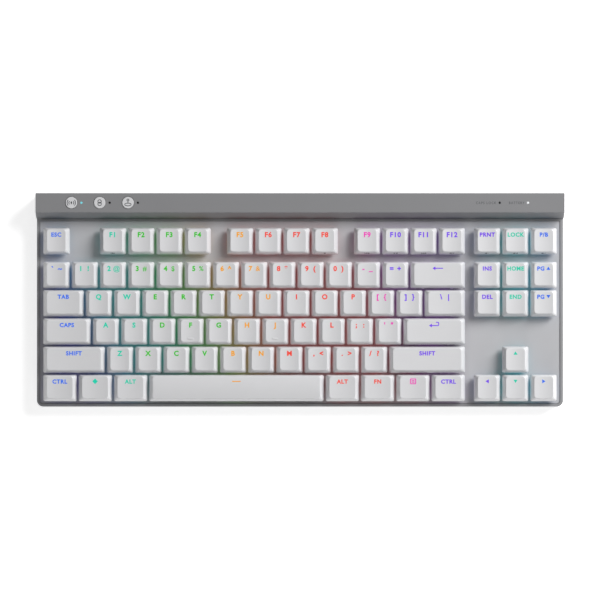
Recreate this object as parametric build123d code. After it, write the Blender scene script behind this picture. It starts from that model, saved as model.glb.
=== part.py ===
"""Low-profile wireless mechanical keyboard, tenkeyless, in millimetres.

X runs to the typist's right, Y away from the typist and Z up. The origin is the middle of the
footprint at the level of the table. Each sub-part is written to parts/NAME.step.
"""

from build123d import *
import math
import os

# ---------------------------------------------------------------- driving sizes
KEY_PITCH = 19.05          # centre to centre of two single keys
ROW_GAP = 3.8              # extra space between the function row and the number row
CLUSTER_GAP = 4.76         # extra space between the main block and the right-hand cluster
CAP_GAP = 1.55             # free space between two neighbouring keycaps

SIDE_MARGIN = 3.9          # key field to the outer side face of the case
FRONT_MARGIN = 3.4         # key field to the outer front face of the case
REAR_MARGIN = 5.2          # key field to the foot of the rear bar
BAR_DEPTH = 17.4           # rear bar, foot of its slope to its rear face
BAR_TOP_DEPTH = 13.1       # flat top of the rear bar
BAR_OVERHANG = 0.4         # the bar stands this far out over each side of the case

PAD_PROUD = 0.8            # rubber pads below the case
FLOOR_THICKNESS = 1.8
RIM_ABOVE_DECK = 0.6       # top of the case's rim above the deck plate
RIM_WALL = 1.9
LEDGE_WIDTH = 1.2          # shelf inside the rim that the deck plate lies on
DECK_THICKNESS = 1.2
BAR_TOP = 21.6
BAR_WALL = 1.8
BAR_EDGE_RADIUS = 0.6
FRONT_CORNER_RADIUS = 4.3
REAR_CORNER_RADIUS = 1.2
CASE_CHAMFER = 0.9

BOARD_DROP = 2.8           # deck top down to the top of the main board
BOARD_ABOVE_FEET = 0.3     # main board above the roofs of the recesses for the feet
BOARD_THICKNESS = 1.2
DAMPER_THICKNESS = 1.0

KEY_TRAVEL = 3.2
CAP_HEIGHT = 5.0           # skirt edge to the rim of the dished top
CAP_CLEARANCE = 0.4        # skirt edge to deck with the key held down
CAP_SIDE_SLOPE = 2.3       # how far each side leans in
CAP_FRONT_SLOPE = 1.6
CAP_REAR_SLOPE = 1.2
CAP_WALL = 0.95
CAP_BASE_RADIUS = 1.3
CAP_TOP_RADIUS = 2.0
CAP_DISH = 0.5             # depth of the hollow in the top
SPACE_CROWN = 1.0          # height of the crown on the space bar
CAP_POST_RADIUS = 2.8

SWITCH_HOLE = 13.9
SWITCH_BODY = 13.8
SWITCH_FLANGE = 14.6
FLANGE_THICKNESS = 0.8
SWITCH_CAVITY = 9.0
SWITCH_FLOOR = 0.6
COVER_WIDTH = 13.4
COVER_TOP_WIDTH = 12.6
COVER_WALL = 0.8
STEM_WIDTH = 6.8
STEM_OPENING = 7.2
STEM_SHOULDER = 8.4
STEM_SHOULDER_THICKNESS = 0.8
STEM_GAP = 0.1             # shoulder to the underside of the switch's cover, key up
STEM_FLOOR_GAP = 0.1       # shoulder to the switch's floor, key down
STEM_RISE = 1.2            # stem above the switch's cover at rest
CROSS_LENGTH = 4.0
CROSS_ARM = 1.2
CROSS_HEIGHT = 2.2
CROSS_FIT = 0.05
SPRING_RADIUS = 1.9
SPRING_WIRE_RADIUS = 0.16
SPRING_TURNS = 4
SPRING_POCKET_RADIUS = 2.3
SPRING_POCKET_DEPTH = 2.1
PEG_RADIUS = 1.65
PIN_RADIUS = 0.5
HOLE_FIT = 0.1             # radial clearance of pegs, pins and posts in the board
LED_SIZE = (3.0, 1.2, 0.6)
LED_OFFSET = 5.7           # light source behind the middle of its switch
LED_WINDOW = (5.0, 1.6)

STAB_WIRE_RADIUS = 0.6
STAB_ARM = 8.0             # pivot bar to the pin that lifts the keycap
STAB_PIVOT_BACK = 8.5      # pivot bar in front of the middle of the key
STAB_PIVOT_DROP = 0.9      # pivot bar below the deck's top
STAB_REST_ANGLE = 40.0
STAB_PIN_LENGTH = 2.5
STAB_BEND = 1.2
STAB_CLEARANCE = 0.2
STAB_FIT = 0.06            # radial clearance of the wire in its clips
STAB_NARROW = 12.4         # arm out from the middle of a two-unit key
STAB_WIDE = 50.0           # arm out from the middle of the space bar
STAB_HOOK = 1.4

SCREW_RADIUS = 1.0
SCREW_HEAD_RADIUS = 1.9
SCREW_HEAD_HEIGHT = 1.2
SCREW_LENGTH = 7.0
SCREW_RECESS = 0.1
SCREW_FIT = 0.02           # radial clearance of a screw in its post
POST_RADIUS = 2.0
BOSS_RADIUS = 3.0
BOSS_HEIGHT = 1.0          # screw boss above the floor inside
BAR_BOSS_OUT = 27.0        # the bar's end screws outward of the feet
BAR_BOSS_MIDDLE = 50.0     # its middle screw, clear of the control board
BAR_BOSS_INSET = 8.0

FOOT_FROM_SIDE = 35.73     # middle of each foot in from the side of the case
LONG_FOOT_LENGTH = 17.0
LONG_FOOT_WIDTH = 39.0
LONG_FOOT_ARM = 6.5
SHORT_FOOT_LENGTH = 9.0
SHORT_FOOT_WIDTH = 20.0
FOOT_THICKNESS = 3.4
FOOT_CLEARANCE = 0.3
FOOT_INSET = 0.2           # folded feet above the underside of the case
FOOT_PIVOT_BACK = 5.0      # pivot in front of the rear face
FOOT_STUB_RADIUS = 1.2
FOOT_STUB_LENGTH = 1.3
FOOT_STUB_FIT = 0.06
FOOT_REAR_ROOM = 2.3       # pivot to the recess's rear wall, which stops the open foot
FOOT_RECESS_WALL = 1.4

BUTTON_RADIUS = 3.9
BUTTON_FIT = 0.25
BUTTON_PROUD = 0.4
BUTTON_FLANGE = 0.7
BUTTON_FLANGE_THICKNESS = 0.6
BUTTON_TRAVEL = 0.5
BUTTON_STEM_RADIUS = 1.5
BUTTON_FROM_LEFT = 23.8    # first button in from the side of the case
LENS_RADIUS = 0.75
LENS_OFFSET = 6.75         # lens to the right of its button
LENS_FROM_RIGHT = 24.2     # battery lens in from the side of the case
LENS_FIT = 0.05
BUTTON_BOARD_END = 11.95   # board beyond the middle of the first and the last button
BUTTON_BOARD = (2 * KEY_PITCH + 2 * BUTTON_BOARD_END, 9.0, 1.0)
BUTTON_BOARD_TOP = 15.0
TACT_SIZE = (5.0, 5.0, 1.6)

PORT_WIDTH = 13.0          # recess that the cable's plug enters
PORT_HEIGHT = 6.6
PORT_DEPTH = 5.0
PORT_WALL = 1.8
SOCKET_SIZE = (8.94, 7.35, 3.26)
SOCKET_WALL = 0.3
SOCKET_FIT = 0.05
SOCKET_TONGUE = (6.7, 4.6, 0.7)
CONTROL_BOARD = (60.0, 9.6, 1.0)
CONTROL_BOARD_SHIFT = 14.0
SLIDER_OFFSET = 28.0       # power switch to the right of the cable socket
SLIDER_SIZE = (4.0, 2.4)
SLIDER_TRAVEL = 3.0
SLIDER_FIT = 0.2
SWITCH_BLOCK = (10.0, 4.0, 3.2)

BATTERY_SIZE = (98.0, 10.6, 8.6)
BATTERY_OFFSET = -68.0
RIBBON_WIDTH = 12.0
RIBBON_THICKNESS = 0.3
RIBBON_NOTCH = 16.0
PAD_LENGTH = 34.0
PAD_WIDTH = 7.0
PAD_POCKET = 0.6
PAD_INSET = 9.0

# ---------------------------------------------------------------- the layout
# Each row from the rear, left to right. "name:2" is a key two units wide and "-1" is a space.
MAIN_ROWS = (
    "esc -1 f1 f2 f3 f4 -0.5 f5 f6 f7 f8 -0.5 f9 f10 f11 f12",
    "grave 1 2 3 4 5 6 7 8 9 0 minus equals backspace:2",
    "tab:1.5 q w e r t y u i o p bracket_left bracket_right backslash:1.5",
    "caps_lock:1.75 a s d f g h j k l semicolon quote enter:2.25",
    "shift_left:2.25 z x c v b n m comma period slash shift_right:2.75",
    "ctrl_left:1.25 system:1.25 alt_left:1.25 space:6.25 alt_right:1.25 function:1.25 menu:1.25"
    " ctrl_right:1.25",
)
CLUSTER_ROWS = (
    "print lock pause",
    "insert home page_up",
    "delete end page_down",
    "",
    "-1 arrow_up",
    "arrow_left arrow_down arrow_right",
)
MAIN_UNITS, CLUSTER_UNITS = 15, 3

# Keys that share one node, because the library takes at most 60 nodes.
KEY_NODES = {
    "key_esc": "esc",
    "keys_f1_f4": "f1 f2 f3 f4",
    "keys_f5_f8": "f5 f6 f7 f8",
    "keys_f9_f12": "f9 f10 f11 f12",
    "keys_print_lock_pause": "print lock pause",
    "keys_digits_left": "grave 1 2 3 4 5",
    "keys_digits_right": "6 7 8 9 0 minus equals",
    "key_backspace": "backspace",
    "keys_navigation": "insert home page_up delete end page_down",
    "key_tab": "tab",
    "keys_qwert": "q w e r t",
    "keys_yuiop": "y u i o p",
    "keys_brackets": "bracket_left bracket_right backslash",
    "key_caps_lock": "caps_lock",
    "keys_asdfg": "a s d f g",
    "keys_hjkl": "h j k l",
    "keys_semicolon_quote": "semicolon quote",
    "key_enter": "enter",
    "key_shift_left": "shift_left",
    "keys_zxcvb": "z x c v b",
    "keys_nm_comma_slash": "n m comma period slash",
    "key_shift_right": "shift_right",
    "keys_modifiers_left": "ctrl_left system alt_left",
    "key_space": "space",
    "keys_modifiers_right": "alt_right function menu ctrl_right",
    "key_arrow_up": "arrow_up",
    "key_arrow_left": "arrow_left",
    "key_arrow_down": "arrow_down",
    "key_arrow_right": "arrow_right",
}
STAB_ARMS = {
    "backspace": STAB_NARROW,
    "enter": STAB_NARROW,
    "shift_left": STAB_NARROW,
    "shift_right": STAB_NARROW,
    "space": STAB_WIDE,
}
# Screw posts of the deck plate: (row boundary counted from the rear, units from the left).
POST_SPOTS = ((1, 1.5), (1, 6.25), (1, 10.75), (1, 14.6), (3, 3.0), (3, 12.2), (5, 3.4), (5, 10.2))

# ---------------------------------------------------------------- worked-out places
FIELD_WIDTH = (MAIN_UNITS + CLUSTER_UNITS) * KEY_PITCH + CLUSTER_GAP
FIELD_DEPTH = len(MAIN_ROWS) * KEY_PITCH + ROW_GAP
CASE_WIDTH = FIELD_WIDTH + 2 * SIDE_MARGIN
CASE_DEPTH = FRONT_MARGIN + FIELD_DEPTH + REAR_MARGIN + BAR_DEPTH
FRONT_Y, REAR_Y = -CASE_DEPTH / 2, CASE_DEPTH / 2
BAR_FRONT_Y = REAR_Y - BAR_DEPTH
LIP_THICKNESS = 1.2
LIP_GAP = 0.3              # dark joint line between the lip and the rear bar
FIELD_REAR_Y = BAR_FRONT_Y - REAR_MARGIN
FLOOR_TOP = PAD_PROUD + FLOOR_THICKNESS
FOOT_OFFSET = CASE_WIDTH / 2 - FOOT_FROM_SIDE
FOOT_PIVOT_Z = PAD_PROUD + FOOT_INSET + FOOT_THICKNESS / 2
FOOT_RECESS_TOP = FOOT_PIVOT_Z + FOOT_THICKNESS / 2 + FOOT_CLEARANCE
BOARD_BOTTOM = FOOT_RECESS_TOP + FOOT_RECESS_WALL + BOARD_ABOVE_FEET
BOARD_TOP = BOARD_BOTTOM + BOARD_THICKNESS
DECK_TOP = BOARD_TOP + BOARD_DROP
DECK_BOTTOM = DECK_TOP - DECK_THICKNESS
RIM_TOP = DECK_TOP + RIM_ABOVE_DECK
DECK_GAP = 0.15            # deck plate to the rim around it
BOARD_GAP = 0.8
SWITCH_FLOOR_TOP = BOARD_TOP + SWITCH_FLOOR
SHOULDER_BOTTOM = SWITCH_FLOOR_TOP + KEY_TRAVEL + STEM_FLOOR_GAP
SHOULDER_TOP = SHOULDER_BOTTOM + STEM_SHOULDER_THICKNESS
COVER_CEILING = SHOULDER_TOP + STEM_GAP
COVER_TOP = COVER_CEILING + COVER_WALL
STEM_TOP = COVER_TOP + STEM_RISE
CAP_BASE = DECK_TOP + KEY_TRAVEL + CAP_CLEARANCE
CAP_CEILING = STEM_TOP + CROSS_HEIGHT + 0.2
STAB_PIVOT_Z = DECK_TOP - STAB_PIVOT_DROP
BOSS_TOP = FLOOR_TOP + BOSS_HEIGHT
SCREW_HEAD_BOTTOM = PAD_PROUD + SCREW_RECESS
FOOT_PIVOT_Y = REAR_Y - FOOT_PIVOT_BACK
CONTROL_BOARD_TOP = FLOOR_TOP + 1.0 + CONTROL_BOARD[2]
SOCKET_Z = CONTROL_BOARD_TOP + SOCKET_SIZE[2] / 2
SLIDER_Z = CONTROL_BOARD_TOP + SWITCH_BLOCK[2] / 2
SLIDER_POCKET = 0.8        # the slider's knob stays below the rear face
BUTTON_Y = REAR_Y - BAR_TOP_DEPTH / 2
BUTTON_XS = [-CASE_WIDTH / 2 + BUTTON_FROM_LEFT + n * KEY_PITCH for n in range(3)]
LENS_XS = [x + LENS_OFFSET for x in BUTTON_XS] + [
    CASE_WIDTH / 2 - LENS_FROM_RIGHT - n * KEY_PITCH for n in (1, 0)
]
BAR_BOSS_Y = REAR_Y - BAR_BOSS_INSET
BAR_BOSS_XS = (-FOOT_OFFSET - BAR_BOSS_OUT, BAR_BOSS_MIDDLE, FOOT_OFFSET + BAR_BOSS_OUT)


def block(x0, x1, y0, y1, z0, z1):
    """A box between two corners."""
    centre = ((x0 + x1) / 2, (y0 + y1) / 2, (z0 + z1) / 2)
    return Pos(*centre) * Box(x1 - x0, y1 - y0, z1 - z0)


def prism(sketch, z0, z1):
    """A flat sketch made solid between two heights."""
    return Pos(0, 0, z0) * extrude(sketch, z1 - z0)


def rod(x, y, radius, z0, z1):
    """An upright cylinder."""
    return Pos(x, y, (z0 + z1) / 2) * Cylinder(radius, z1 - z0)


def rod_x(x0, x1, y, z, radius):
    """A cylinder along X."""
    return Pos((x0 + x1) / 2, y, z) * Rot(0, 90, 0) * Cylinder(radius, x1 - x0)


def walk_row(text, left, y):
    """Reads one row of the layout into {key: (x, y, units)}."""
    found, x = {}, left
    for word in text.split():
        if word.startswith("-"):
            x += float(word[1:]) * KEY_PITCH
            continue
        name, _, units = word.partition(":")
        units = float(units or 1)
        found[name] = (x + units * KEY_PITCH / 2, y, units)
        x += units * KEY_PITCH
    return found


def row_y(row):
    """Middle of a row, counted from the rear."""
    return FIELD_REAR_Y - (row + 0.5) * KEY_PITCH - (ROW_GAP if row else 0)


def boundary_y(row):
    """The line between the row before and this one."""
    return row_y(row) + KEY_PITCH / 2 + (ROW_GAP / 2 if row == 1 else 0)


KEYS = {}
for row_number, (main_row, cluster_row) in enumerate(zip(MAIN_ROWS, CLUSTER_ROWS)):
    left_x = -FIELD_WIDTH / 2
    KEYS |= walk_row(main_row, left_x, row_y(row_number))
    KEYS |= walk_row(cluster_row, left_x + MAIN_UNITS * KEY_PITCH + CLUSTER_GAP, row_y(row_number))
POSTS = [(-FIELD_WIDTH / 2 + u * KEY_PITCH, boundary_y(row)) for row, u in POST_SPOTS]
POSTS += [(FIELD_WIDTH / 2 - KEY_PITCH, boundary_y(1)), (FIELD_WIDTH / 2 - KEY_PITCH, boundary_y(3))]
SCREWS = POSTS + [(x, BAR_BOSS_Y) for x in BAR_BOSS_XS]
BAR_BOSSES = [(x, BAR_BOSS_Y) for x in BAR_BOSS_XS]


def at_every_key(solid):
    """A copy of a switch part at each key."""
    return [solid.moved(Location((x, y, 0))) for x, y, _ in KEYS.values()]


def cut(solid, tools):
    """Takes many tools out of a solid in one operation."""
    return solid - list(tools)


# ---------------------------------------------------------------- case
def case_outline(inset, rear_inset=None):
    """Plan of the case, moved in from its outer faces."""
    rear = inset if rear_inset is None else rear_inset
    depth = CASE_DEPTH - inset - rear
    plan = Pos(0, (inset - rear) / 2) * Rectangle(CASE_WIDTH - 2 * inset, depth)
    plan = fillet(plan.vertices().group_by(Axis.Y)[0], max(FRONT_CORNER_RADIUS - inset, 0.5))
    back = plan.vertices().group_by(Axis.Y)[-1]
    return fillet(back, max(REAR_CORNER_RADIUS - inset, 0.3))


def foot_recess(side):
    """The hollow that both feet of one side fold into."""
    x = side * FOOT_OFFSET
    half = LONG_FOOT_WIDTH / 2 + FOOT_CLEARANCE
    front = FOOT_PIVOT_Y - LONG_FOOT_LENGTH - FOOT_CLEARANCE
    return x - half, x + half, front, FOOT_PIVOT_Y + FOOT_REAR_ROOM


def foot_ears(side):
    """Two ears inside the recess that carry both feet."""
    inner = SHORT_FOOT_WIDTH / 2 + FOOT_CLEARANCE
    outer = LONG_FOOT_WIDTH / 2 - LONG_FOOT_ARM - FOOT_CLEARANCE
    ears = []
    for hand in (-1, 1):
        x0, x1 = sorted((side * FOOT_OFFSET + hand * inner, side * FOOT_OFFSET + hand * outer))
        reach = FOOT_THICKNESS / 2
        ear = block(x0, x1, FOOT_PIVOT_Y - reach, FOOT_PIVOT_Y + reach, FOOT_PIVOT_Z, FOOT_RECESS_TOP)
        ear += rod_x(x0, x1, FOOT_PIVOT_Y, FOOT_PIVOT_Z, reach)
        bore = rod_x(x0 - 1, x1 + 1, FOOT_PIVOT_Y, FOOT_PIVOT_Z, FOOT_STUB_RADIUS + FOOT_STUB_FIT)
        ears.append(ear - bore)
    return ears


def pad_places():
    """Middle of each rubber pad."""
    side = CASE_WIDTH / 2 - PAD_INSET - PAD_LENGTH / 2
    front, rear = FRONT_Y + PAD_INSET, BAR_FRONT_Y - PAD_INSET
    return [(x, front) for x in (-side, 0, side)] + [(-side, rear), (side, rear), (0, REAR_Y - PAD_INSET)]


def bottom_case():
    """Moulded tray with its rim, ledge, cross lip, screw bosses, foot recesses and port recess."""
    tray = prism(case_outline(0), PAD_PROUD, RIM_TOP)
    tray = chamfer(tray.faces().sort_by(Axis.Z)[0].edges(), CASE_CHAMFER)
    lip_front = BAR_FRONT_Y - LIP_THICKNESS
    deck_seat = prism(case_outline(RIM_WALL, REAR_Y - lip_front), DECK_BOTTOM, RIM_TOP + 1)
    well = RIM_WALL + LEDGE_WIDTH
    key_well = prism(case_outline(well, REAR_Y - lip_front), FLOOR_TOP, RIM_TOP + 1)
    well_x = CASE_WIDTH / 2 - well
    bar_well = block(-well_x, well_x, BAR_FRONT_Y, REAR_Y - RIM_WALL, FLOOR_TOP, RIM_TOP + 1)
    tray = tray - deck_seat - key_well - bar_well

    adds, takes = [], []
    for x, y in SCREWS:
        adds.append(rod(x, y, BOSS_RADIUS, FLOOR_TOP, BOSS_TOP))
        sink = SCREW_HEAD_BOTTOM + SCREW_HEAD_HEIGHT
        takes.append(rod(x, y, SCREW_HEAD_RADIUS + 0.2, PAD_PROUD - 1, sink))
        takes.append(rod(x, y, SCREW_RADIUS + 0.2, PAD_PROUD, BOSS_TOP + 1))
    for side in (-1, 1):
        x0, x1, y0, y1 = foot_recess(side)
        wall = FOOT_RECESS_WALL
        roof = FOOT_RECESS_TOP + wall
        adds.append(block(x0 - wall, x1 + wall, y0 - wall, y1 + wall, FLOOR_TOP, roof))
        takes.append(block(x0, x1, y0, y1, PAD_PROUD - 1, FOOT_RECESS_TOP))
    port_x, port_z = PORT_WIDTH / 2, PORT_HEIGHT / 2
    adds.append(
        block(
            -port_x - PORT_WALL, port_x + PORT_WALL, REAR_Y - PORT_DEPTH - PORT_WALL, REAR_Y - RIM_WALL,
            FLOOR_TOP, min(SOCKET_Z + port_z + PORT_WALL, RIM_TOP),
        )
    )
    port_back = REAR_Y - PORT_DEPTH
    takes.append(block(-port_x, port_x, port_back, REAR_Y + 1, SOCKET_Z - port_z, SOCKET_Z + port_z))
    takes.append(socket_outline(SOCKET_FIT, port_back - PORT_WALL - 1, port_back + 1))
    slot = SLIDER_SIZE[0] / 2 + SLIDER_FIT
    takes.append(
        block(
            SLIDER_OFFSET - slot - SLIDER_TRAVEL / 2, SLIDER_OFFSET + slot + SLIDER_TRAVEL / 2,
            REAR_Y - RIM_WALL - 1, REAR_Y + 1,
            SLIDER_Z - SLIDER_SIZE[1] / 2 - SLIDER_FIT, SLIDER_Z + SLIDER_SIZE[1] / 2 + SLIDER_FIT,
        )
    )
    ribbon_x = CONTROL_BOARD_SHIFT + CONTROL_BOARD[0] / 4
    notch_x = RIBBON_NOTCH / 2
    takes.append(
        block(ribbon_x - notch_x, ribbon_x + notch_x, lip_front - 1, BAR_FRONT_Y + 1, FLOOR_TOP, DECK_BOTTOM)
    )
    for x, y in pad_places():
        pad = Pos(x, y) * SlotOverall(PAD_LENGTH, PAD_WIDTH)
        takes.append(prism(pad, PAD_PROUD - 1, PAD_PROUD + PAD_POCKET))
    # ribs that carry the control board and fence the battery in
    for hand in (-1, 1):
        rib = CONTROL_BOARD_SHIFT + hand * (CONTROL_BOARD[0] / 2 - 3)
        adds.append(block(rib - 1, rib + 1, *control_board_y(), FLOOR_TOP, FLOOR_TOP + 1))
        fence = BATTERY_OFFSET + hand * (BATTERY_SIZE[0] / 2 + 0.8)
        adds.append(block(fence - 0.6, fence + 0.6, *battery_y(), FLOOR_TOP, FLOOR_TOP + 3))
    tray = cut(tray + adds, takes)
    return tray + foot_ears(-1) + foot_ears(1)


def bar_profile(inset, drop):
    """Cross-section of the rear bar in Y and Z, moved in from its outer faces and taken lower."""
    run, rise = BAR_DEPTH - LIP_GAP - BAR_TOP_DEPTH, BAR_TOP - RIM_TOP
    shift = inset * math.hypot(run, rise) / rise
    foot, brow = BAR_FRONT_Y + LIP_GAP, REAR_Y - BAR_TOP_DEPTH
    points = [
        (foot + shift - drop * run / rise, RIM_TOP - drop),
        (brow + shift - inset * run / rise, BAR_TOP - inset),
        (REAR_Y - inset, BAR_TOP - inset),
        (REAR_Y - inset, RIM_TOP - drop),
    ]
    return make_face(Polyline(points, close=True))


def along_x(face, x0, x1):
    """A face drawn in Y and Z as a solid between two X."""
    placed = Plane(origin=(x0, 0, 0), x_dir=(0, 1, 0), z_dir=(1, 0, 0)) * face
    return extrude(placed, x1 - x0)


def rear_cover():
    """Hollow bar across the rear that carries the buttons and the lights."""
    half = CASE_WIDTH / 2 + BAR_OVERHANG
    shell = along_x(bar_profile(0, 0), -half, half)
    shell -= along_x(bar_profile(BAR_WALL, 1), -half + BAR_WALL, half - BAR_WALL)
    shell = fillet(shell.edges().filter_by(Axis.X).group_by(Axis.Z)[-1], BAR_EDGE_RADIUS)
    inside = BAR_TOP - BAR_WALL / 2
    adds = [rod(x, y, POST_RADIUS + 0.4, BOSS_TOP, inside) for x, y in BAR_BOSSES]
    bore_top = SCREW_HEAD_BOTTOM + SCREW_LENGTH + 1
    takes = [rod(x, y, SCREW_RADIUS + SCREW_FIT, BOSS_TOP - 1, bore_top) for x, y in BAR_BOSSES]
    mid_x = BUTTON_XS[1]
    for x in (-1, 1):
        hanger = mid_x + x * (BUTTON_BOARD[0] / 2 - 2)
        adds.append(rod(hanger, BUTTON_Y, 1.4, BUTTON_BOARD_TOP, inside))
    low, high = BAR_TOP - BAR_WALL - 1, BAR_TOP + 1
    takes += [rod(x, BUTTON_Y, BUTTON_RADIUS + BUTTON_FIT, low, high) for x in BUTTON_XS]
    takes += [rod(x, BUTTON_Y, LENS_RADIUS + LENS_FIT, low, high) for x in LENS_XS]
    return cut(shell + adds, takes)


# ---------------------------------------------------------------- deck and boards
def stab_windows(x, y, arm):
    """Cut-outs of the deck plate for one stabiliser: a window at each arm and a slot between."""
    front = y - STAB_PIVOT_BACK - STAB_WIRE_RADIUS - 0.3
    back = y + 1.3
    bar_back = y - STAB_PIVOT_BACK + STAB_WIRE_RADIUS + 0.15
    tools = [block(x - arm, x + arm, front, bar_back, DECK_BOTTOM - 1, DECK_TOP + 1)]
    for hand in (-1, 1):
        inner, outer = arm - STAB_PIN_LENGTH - 1.0, arm + STAB_WIRE_RADIUS + 1.2
        x0, x1 = sorted((x + hand * inner, x + hand * outer))
        tools.append(block(x0, x1, front, back, DECK_BOTTOM - 1, DECK_TOP + 1))
    return tools


def deck_plate():
    """Aluminium plate around the keys that the switches snap into, with its screw posts."""
    rear = REAR_Y - BAR_FRONT_Y + LIP_THICKNESS + DECK_GAP
    plate = prism(case_outline(RIM_WALL + DECK_GAP, rear), DECK_BOTTOM, DECK_TOP)
    plate = chamfer(plate.faces().sort_by(Axis.Z)[-1].edges(), 0.2)
    tools = at_every_key(centred(SWITCH_HOLE, DECK_BOTTOM - 1, DECK_TOP + 1))
    for name, arm in STAB_ARMS.items():
        tools += stab_windows(KEYS[name][0], KEYS[name][1], arm)
    posts = [rod(x, y, POST_RADIUS, BOSS_TOP, DECK_BOTTOM) for x, y in POSTS]
    bore_top = SCREW_HEAD_BOTTOM + SCREW_LENGTH + 0.5
    bores = [rod(x, y, SCREW_RADIUS + SCREW_FIT, BOSS_TOP - 1, bore_top) for x, y in POSTS]
    return cut(cut(plate, tools) + posts, bores)


def board_sketch(extra_gap):
    """Plan of the main board or the sheet under it, with the holes that the posts pass."""
    inset = RIM_WALL + LEDGE_WIDTH + extra_gap
    return case_outline(inset, REAR_Y - BAR_FRONT_Y + LIP_THICKNESS + extra_gap)


def main_board():
    """Circuit board under the switches."""
    board = prism(board_sketch(BOARD_GAP), BOARD_BOTTOM, BOARD_TOP)
    low, high = BOARD_BOTTOM - 1, BOARD_TOP + 1
    tools = [rod(x, y, POST_RADIUS + HOLE_FIT + 0.2, low, high) for x, y in POSTS]
    for x, y, _ in KEYS.values():
        tools.append(rod(x, y, PEG_RADIUS + HOLE_FIT, low, high))
        tools += [rod(x + px, y + py, PIN_RADIUS + HOLE_FIT, low, high) for px, py in PIN_PLACES]
    return cut(board, tools)


def damper_sheet():
    """Silicone sheet on the case's floor that deadens the key noise."""
    sheet = prism(board_sketch(BOARD_GAP), FLOOR_TOP, FLOOR_TOP + DAMPER_THICKNESS)
    low, high = FLOOR_TOP - 1, FLOOR_TOP + DAMPER_THICKNESS + 1
    tools = [rod(x, y, BOSS_RADIUS + 0.4, low, high) for x, y in POSTS]
    for side in (-1, 1):
        x0, x1, y0, y1 = foot_recess(side)
        wall = FOOT_RECESS_WALL + 0.4
        tools.append(block(x0 - wall, x1 + wall, y0 - wall, y1 + wall, low, high))
    return cut(sheet, tools)


def key_leds():
    """One light source behind the middle of each switch."""
    width, depth, height = LED_SIZE
    return at_every_key(Pos(0, LED_OFFSET, BOARD_TOP + height / 2) * Box(width, depth, height))


# ---------------------------------------------------------------- switches
PIN_PLACES = ((0.0, -5.6), (5.0, -3.8))


def centred(width, z0, z1, top_width=None):
    """A square block about the Z axis, tapering to top_width if that is given."""
    low = Pos(0, 0, z0) * Rectangle(width, width)
    if top_width is None:
        return prism(Rectangle(width, width), z0, z1)
    return loft([low, Pos(0, 0, z1) * Rectangle(top_width, top_width)], ruled=True)


def switch_base():
    """Lower housing of one switch, with its locating peg, two pins and the window for its light."""
    flange_top = DECK_TOP + FLANGE_THICKNESS
    base = centred(SWITCH_BODY, BOARD_TOP, DECK_TOP) + centred(SWITCH_FLANGE, DECK_TOP, flange_top)
    window = LED_WINDOW
    base -= centred(SWITCH_CAVITY, SWITCH_FLOOR_TOP, flange_top + 1)
    base -= block(
        -window[0] / 2, window[0] / 2, LED_OFFSET - window[1] / 2, LED_OFFSET + window[1] / 2,
        BOARD_TOP - 1, flange_top + 1,
    )
    base += rod(0, 0, PEG_RADIUS, BOARD_BOTTOM - 1.2, BOARD_TOP)
    for x, y in PIN_PLACES:
        base += rod(x, y, PIN_RADIUS, BOARD_BOTTOM - 1.0, BOARD_TOP)
    return base


def switch_cover():
    """Clear upper housing of one switch."""
    low = DECK_TOP + FLANGE_THICKNESS
    cover = centred(COVER_WIDTH, low, COVER_TOP, COVER_TOP_WIDTH)
    cover -= centred(SWITCH_CAVITY, low - 1, COVER_CEILING)
    return cover - centred(STEM_OPENING, low, COVER_TOP + 1)


def switch_stem():
    """Plunger of one switch: shoulder, body with the spring's pocket, and the cross for the keycap."""
    stem = centred(STEM_SHOULDER, SHOULDER_BOTTOM, SHOULDER_TOP) + centred(STEM_WIDTH, SHOULDER_TOP, STEM_TOP)
    reach, arm_half = CROSS_LENGTH / 2, CROSS_ARM / 2
    for x, y in ((reach, arm_half), (arm_half, reach)):
        stem += block(-x, x, -y, y, STEM_TOP, STEM_TOP + CROSS_HEIGHT)
    pocket_top = SHOULDER_BOTTOM + SPRING_POCKET_DEPTH
    return stem - rod(0, 0, SPRING_POCKET_RADIUS, SHOULDER_BOTTOM - 1, pocket_top)


def switch_spring():
    """Coil spring between the switch's floor and the stem."""
    low = SWITCH_FLOOR_TOP + SPRING_WIRE_RADIUS
    high = SHOULDER_BOTTOM + SPRING_POCKET_DEPTH - SPRING_WIRE_RADIUS
    path = Pos(0, 0, low) * Helix((high - low) / SPRING_TURNS, high - low, SPRING_RADIUS)
    start = path @ 0
    section = Plane(origin=start, z_dir=path % 0) * Circle(SPRING_WIRE_RADIUS)
    return sweep(section, path)


# ---------------------------------------------------------------- keycaps
def cap_section(units, height, inset):
    """Rounded rectangle around a keycap at a height above its skirt edge."""
    share = height / CAP_HEIGHT
    width = units * KEY_PITCH - CAP_GAP - 2 * CAP_SIDE_SLOPE * share - 2 * inset
    depth = KEY_PITCH - CAP_GAP - (CAP_FRONT_SLOPE + CAP_REAR_SLOPE) * share - 2 * inset
    shift = (CAP_FRONT_SLOPE - CAP_REAR_SLOPE) / 2 * share
    radius = CAP_BASE_RADIUS + (CAP_TOP_RADIUS - CAP_BASE_RADIUS) * share
    return Pos(0, shift, CAP_BASE + height) * RectangleRounded(width, depth, max(radius - inset, 0.3))


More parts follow.
